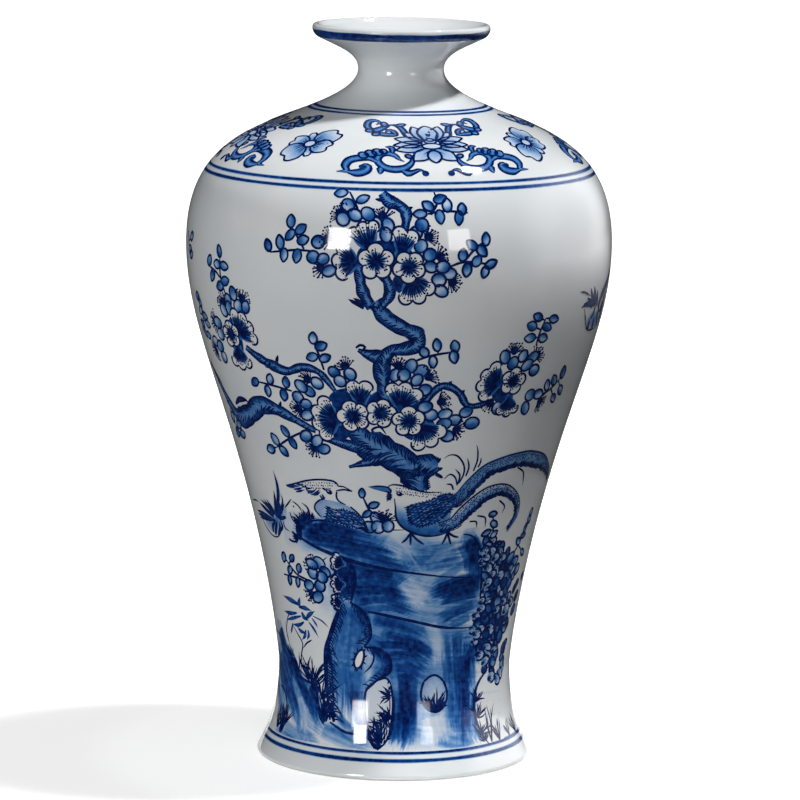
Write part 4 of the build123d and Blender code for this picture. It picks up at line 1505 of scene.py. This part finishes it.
def lotusMedallion(axis):
    m = medallion
    for side in (1, -1):
        flip = np.array([side, 1.0])
        for i, (pixels, widths) in enumerate(m["scrolls"]):
            scroll(axis, localTo(axis, pixels) * flip, widths, 1 + 1.5 * (i % 3))
        for base, tip, width in m["leaves"]:
            shoulderPetal(axis, *(localTo(axis, [base, tip]) * flip), width, 6, 0.34, 0.62, 0.25)
        for place, radius in m["commas"]:
            dot("shoulderLines", axis, localTo(axis, [place])[0] * flip, radius, 6, ink=0.9)
        for i, (base, tip, width) in enumerate(m["petals"]):
            shoulderPetal(axis, *(localTo(axis, [base, tip]) * flip), width, 7 + 0.7 * i)
            root, end = localTo(axis, [base, tip]) * flip
            stroke("shoulderLines", axis, [root, root + 0.45 * (end - root)], 0.6, layer=9 + 0.7 * i,
                   tips=(1.0, 0.2))
    for base, tip, width in m["middle"]:
        shoulderPetal(axis, *(localTo(axis, [base, tip]) * (0, 1)), width, 12, point=0.4)
    heart = oval(m["heart"][0], m["heart"][1], 90, centre=localTo(axis, [m["heartPlace"]])[0] * (0, 1))
    fill("shoulderWash", axis, heart, 0.1, 13.5, 4)
    edge("shoulderLines", axis, heart, m["outline"], 14.3)


def rosetteFlower(at):
    # four large notched petals over four small ones, veined at their roots, round a pale heart
    r = rosette

    def tone(share, angle):
        return 0.40 - 0.30 * np.clip(share * np.cos(angle) + 0.4, 0, 1)

    for i, turn in enumerate(r["between"] + list(r["petals"])):
        big = turn in r["petals"]
        size = r["radius"] * (r["petals"][turn] if big else 0.84)
        way = heading(turn)
        petal = oval(size * 0.84, size * (0.86 if big else 0.42), turn, centre=way * size * 0.58)

        def notched(share, angle, petal=petal, way=way, depth=1.9 if big else 0.5):
            around = np.abs(np.angle(np.exp(1j * angle)))  # 0 at the petal's tip
            dip = np.exp(-((around / 0.26) ** 2)) + 0.4 * np.exp(-(((around - 1.25) / 0.22) ** 2))
            return petal(share, angle) - (share * dip)[..., None] * way * depth

        fill("shoulderWash", at, notched, tone, 2 + 0.5 * i, 8)
        edge("shoulderLines", at, notched, r["outline"], 2 + 0.5 * i + 0.4)
        for spread in (-24, -9, 9, 24) if big else ():
            vein = heading(turn + spread) * size
            stroke("shoulderLines", at, [vein * 0.2, vein * 0.5], 0.7, layer=7, ink=0.95, tips=(1.0, 0.2))
    heart = oval(r["radius"] * 0.5, r["radius"] * 0.44, 20)
    fill("shoulderWash", at, heart, 0.12, 8, 4)
    edge("shoulderLines", at, heart, r["outline"] * 1.3, 9)


def shoulderBand():
    axis = tuple(onWall(medallion["axis"])[0])
    between = tuple(onWall(rosette["place"])[0])
    for i in range(medallion["repeat"]):
        placing["turn"] = 360 / medallion["repeat"] * i
        lotusMedallion(axis)
        rosetteFlower(between)
    placing["turn"] = 0.0


shoulderBand()
print("shoulder band drawn")


# Cobalt bands that go right round

bands = {  # heights of the middle and widths, in mm
    "neckRings": ([(320.85, 1.5), (319.65, 1.4)], ["neck_line_upper", "neck_line_lower"]),
    "shoulderRings": ([(292.3, 1.3), (289.4, 1.4)], ["shoulder_line_upper", "shoulder_line_lower"]),
    "footRings": ([(13.1, 1.4), (9.5, 1.5)], ["foot_line_upper", "foot_line_lower"]),
    "mouthBand": ([(355.6, 4.2)], ["mouth_band"]),
}


def band(sheet, height, width):
    # a line pulled on the banding wheel, a touch uneven in width and strength
    columns = 257
    half, bleed = width / 2, 0.2 if width > 3 else 0.6  # mm; the pigment bleeds a little past the line
    body = np.linspace(-half, half, max(3, round(width / 0.4)))
    offset = np.concatenate([[-half - bleed, -half - 0.2 * bleed], body,
                             [half + 0.2 * bleed, half + bleed]])
    strength = np.interp(np.abs(offset), [0.6 * half, half, half + 0.2 * bleed, half + bleed],
                         [0.90, 0.82, 0.26, 0.0])
    angle = np.linspace(-math.pi, math.pi, columns)
    waver = 1 + 0.06 * np.sin(3 * angle + height) + 0.05 * np.sin(11 * angle + 2 * height)
    middle = runAt(height)
    across = offset[:, None] * waver
    spots = np.stack([angle * radiusAt(middle + across), across], -1)
    ink = strength[:, None] * (1 + 0.06 * np.sin(5 * angle + height))
    lay(sheet, (0.0, middle), spots, ink, 0)


for name, (lines, nodes) in bands.items():
    for height, width in lines:
        band(name, height, width)


def wrapSheet(name, nodes=()):
    # wraps the unrolled sheet round the vase: angle, run and lift become a place, with the wall's normals
    mesh = bpy.data.meshes.new(name)
    paint[name].to_mesh(mesh)
    paint[name].free()
    chart = np.empty(len(mesh.vertices) * 3, np.float32)
    mesh.vertices.foreach_get("co", chart)
    angle, run, lift = chart.reshape(-1, 3).astype(float).T
    normal = [np.interp(run, wallRun, wallNormal[:, i]) for i in (0, 1)]
    radius = radiusAt(run) + lift * normal[0]
    height = np.interp(run, wallRun, wallLine[:, 1]) + lift * normal[1]
    place = np.stack([radius * np.sin(angle), -radius * np.cos(angle), height], 1) * mm
    mesh.vertices.foreach_set("co", place.ravel())
    corner = np.empty(len(mesh.loops), np.int32)
    mesh.loops.foreach_get("vertex_index", corner)
    unrolled = np.stack([angle, run], 1)
    low, high = unrolled.min(axis=0), unrolled.max(axis=0)
    unrolled = 0.005 + 0.99 * (unrolled - low) / (high - low)
    mesh.uv_layers.new(name="OFBake").data.foreach_set("uv", unrolled[corner].ravel())
    bm = bmesh.new()
    bm.from_mesh(mesh)
    bmesh.ops.remove_doubles(bm, verts=bm.verts, dist=1e-7)
    bm.to_mesh(mesh)
    bm.free()
    piece = finishPiece(name, mesh, cobalt, nodes)
    place = np.empty(len(mesh.vertices) * 3, np.float32)
    mesh.vertices.foreach_get("co", place)
    place = place.reshape(-1, 3).astype(float)
    angle = np.arctan2(place[:, 0], -place[:, 1])
    run = runAt(place[:, 2] / mm)
    normal = [np.interp(run, wallRun, wallNormal[:, i]) for i in (0, 1)]
    facing = np.stack([normal[0] * np.sin(angle), -normal[0] * np.cos(angle), normal[1]], 1)
    mesh.normals_split_custom_set_from_vertices(facing.tolist())
    print("painted", name, len(mesh.polygons), "faces")
    return piece


for name in list(paint):
    wrapSheet(name, bands[name][1] if name in bands else ())


# Studio: pale floor, soft light, white behind

studio = {
    "floorSize": 12.0,
    "floorColour": "#d8d8d6",
    "floorGlow": (0.72, 1.0),  # what the camera adds to the lit floor, near the vase and far from it
    "glowReach": (0.25, 1.3),  # metres from the vase
    "worldLight": 0.05,  # soft fill from all round
    "drape": [(0.148, 0.004), (3.2, 0.004), (3.2, 2.6), (2.2, 4.2), (0.02, 4.4)],  # radius and height, m
    "drapeColour": "#141416",
    "reflectionGlowPlace": (3.01, 1.09, 0.75),  # where a stretch of the drape glows for glossy rays alone: a painted reflection on the glaze's right edge, not a lamp
    "reflectionGlowSize": (1.2, 2.7),  # metres, where it begins to fade and where it is gone
    "reflectionGlowStrength": 2.3,
    "lamps": {  # place, aim and size in metres, watts, lights the vase, shows in its glaze
        "key": ((1.42, 0.06, 3.4), (0.0, 0.0, 0.22), (0.35, 0.35), 122.0, True, False),
        "keyShine": ((1.30, 0.38, 3.4), (0.0, 0.0, 0.22), (0.35, 0.35), 120.0, False, True),
        "frontHigh": ((0.0, -1.6, 1.7), (0.0, 0.0, 0.22), (0.8, 0.8), 4.7, True, False),
        "frontLeft": ((-1.15, -1.85, 0.58), (0.0, 0.0, 0.22), (0.5, 0.5), 11.5, True, False),
        "windowLeft": ((-1.136, -1.85, 0.633), (0.0, 0.0, 0.25), (0.455, 0.57), 21.0, False, True),
        "windowRight": ((1.146, -1.85, 0.643), (0.0, 0.0, 0.25), (0.455, 0.57), 6.0, False, True),
        "sideLeft": ((-1.9, -0.2, 0.7), (0.0, 0.0, 0.22), (1.0, 1.0), 7.4, True, False),
        "lowFront": ((0.1, -1.2, 0.10), (0.0, 0.0, 0.02), (0.3, 0.3), 3.0, True, False),
        "lowPaneLeft": ((-0.203, -0.345, 0.045), (-0.02, -0.04, 0.045), (0.105, 0.105), 0.03, False, True),
        "lowPaneRight": ((0.182, -0.357, 0.048), (0.02, -0.04, 0.048), (0.086, 0.086), 0.006, False, True),
    },
    "gridded": {"lowPaneLeft": 36.0, "lowPaneRight": 36.0},  # degrees, lamps that shine ahead alone
}


def whiteTo(material):
    # 1 where the camera looks, straight, through glass or in a shine, and 0 for the light itself
    path = addNode(material, "ShaderNodeLightPath")
    seen = path.outputs["Is Camera Ray"]
    for name in ("Is Glossy Ray", "Is Transmission Ray"):
        more = addNode(material, "ShaderNodeMath", {"operation": "MAXIMUM"})
        material.node_tree.links.new(seen, more.inputs[0])
        material.node_tree.links.new(path.outputs[name], more.inputs[1])
        seen = more.outputs["Value"]
    return seen


def makeFloor():
    bm = bmesh.new()
    bmesh.ops.create_grid(bm, x_segments=8, y_segments=8, size=studio["floorSize"] / 2)
    mesh = bpy.data.meshes.new("paleFloor")
    bm.to_mesh(mesh)
    bm.free()
    floor = bpy.data.objects.new("paleFloor", mesh)
    bpy.context.scene.collection.objects.link(floor)
    # matt white paint: it takes the vase's shadow, and a glow for the camera alone lifts the rest to white
    material = newMaterial("paintedFloor")
    place = addNode(material, "ShaderNodeTexCoord").outputs["Object"]
    away = addNode(material, "ShaderNodeVectorMath", {"operation": "LENGTH"}, Vector=place).outputs["Value"]
    near, far = studio["glowReach"]
    low, high = studio["floorGlow"]
    glow = addNode(material, "ShaderNodeMapRange", Value=away, From_Min=near, From_Max=far, To_Min=low,
                   To_Max=high)
    seen = addNode(material, "ShaderNodeMath", {"operation": "MULTIPLY"})
    material.node_tree.links.new(glow.outputs["Result"], seen.inputs[0])
    material.node_tree.links.new(whiteTo(material), seen.inputs[1])
    shader = addNode(material, "ShaderNodeBsdfPrincipled", Base_Color=linear(studio["floorColour"]),
                     Roughness=0.9, Emission_Color=(1, 1, 1, 1), Emission_Strength=seen.outputs["Value"])
    addNode(material, "ShaderNodeOutputMaterial", Surface=shader.outputs["BSDF"])
    mesh.materials.append(material)


def makeDrape():
    # dark cotton round the stage, out of the picture, so that the glaze has something dark to mirror, with
    # one glowing stretch that shows only in the glaze as a painted reflection
    bm = bmesh.new()
    verts = [bm.verts.new((radius, 0.0, height)) for radius, height in studio["drape"]]
    edges = [bm.edges.new(pair) for pair in zip(verts, verts[1:])]
    bmesh.ops.spin(bm, geom=verts + edges, cent=(0, 0, 0), axis=(0, 0, 1), angle=2 * math.pi, steps=64,
                   use_merge=True)
    mesh = bpy.data.meshes.new("darkDrape")
    bm.to_mesh(mesh)
    bm.free()
    drape = bpy.data.objects.new("darkDrape", mesh)
    bpy.context.scene.collection.objects.link(drape)
    material = newMaterial("darkCottonWithPaintedShine")
    place = addNode(material, "ShaderNodeTexCoord").outputs["Object"]
    away = addNode(material, "ShaderNodeVectorMath", {"operation": "DISTANCE"}, Vector=place)
    away.inputs[1].default_value = studio["reflectionGlowPlace"]
    near, far = studio["reflectionGlowSize"]
    # painted reflection: this glow is seen by glossy rays alone, so the glaze's right edge brightens where
    # no lamp stands
    glow = addNode(material, "ShaderNodeMapRange", {"interpolation_type": "SMOOTHSTEP"},
                   Value=away.outputs["Value"], From_Min=near, From_Max=far, To_Min=studio["reflectionGlowStrength"],
                   To_Max=0.0)
    shown = addNode(material, "ShaderNodeMath", {"operation": "MULTIPLY"})
    material.node_tree.links.new(glow.outputs["Result"], shown.inputs[0])
    material.node_tree.links.new(addNode(material, "ShaderNodeLightPath").outputs["Is Glossy Ray"],
                                 shown.inputs[1])
    shader = addNode(material, "ShaderNodeBsdfPrincipled", Base_Color=linear(studio["drapeColour"]),
                     Roughness=1.0, Emission_Color=(1, 1, 1, 1), Emission_Strength=shown.outputs["Value"])
    addNode(material, "ShaderNodeOutputMaterial", Surface=shader.outputs["BSDF"])
    mesh.materials.append(material)
    drape.visible_camera = False
    drape.visible_shadow = False


def makeWorld():
    world = bpy.data.worlds.new("studioWorld")
    world.use_nodes = True
    bpy.context.scene.world = world
    world.node_tree.nodes.clear()
    strength = addNode(world, "ShaderNodeMapRange", Value=whiteTo(world), To_Min=studio["worldLight"],
                       To_Max=1.0)
    light = addNode(world, "ShaderNodeBackground", Color=(1, 1, 1, 1), Strength=strength.outputs["Result"])
    addNode(world, "ShaderNodeOutputWorld", Surface=light.outputs["Background"])


def makeLamps():
    for name, (place, aim, size, watts, lights, mirrored) in studio["lamps"].items():
        data = bpy.data.lights.new(name, "AREA")
        data.shape = "RECTANGLE"
        data.size, data.size_y = size
        data.energy = watts
        lamp = bpy.data.objects.new(name, data)
        lamp.location = place
        lamp.rotation_euler = (Vector(aim) - Vector(place)).to_track_quat("-Z", "Y").to_euler()
        data.spread = math.radians(studio["gridded"].get(name, 180.0))
        lamp.visible_camera = False
        lamp.visible_diffuse = lights
        lamp.visible_glossy = mirrored
        bpy.context.scene.collection.objects.link(lamp)


makeFloor()
makeDrape()
makeWorld()
makeLamps()
bpy.context.scene.view_settings.view_transform = "Standard"
print("studio lit")
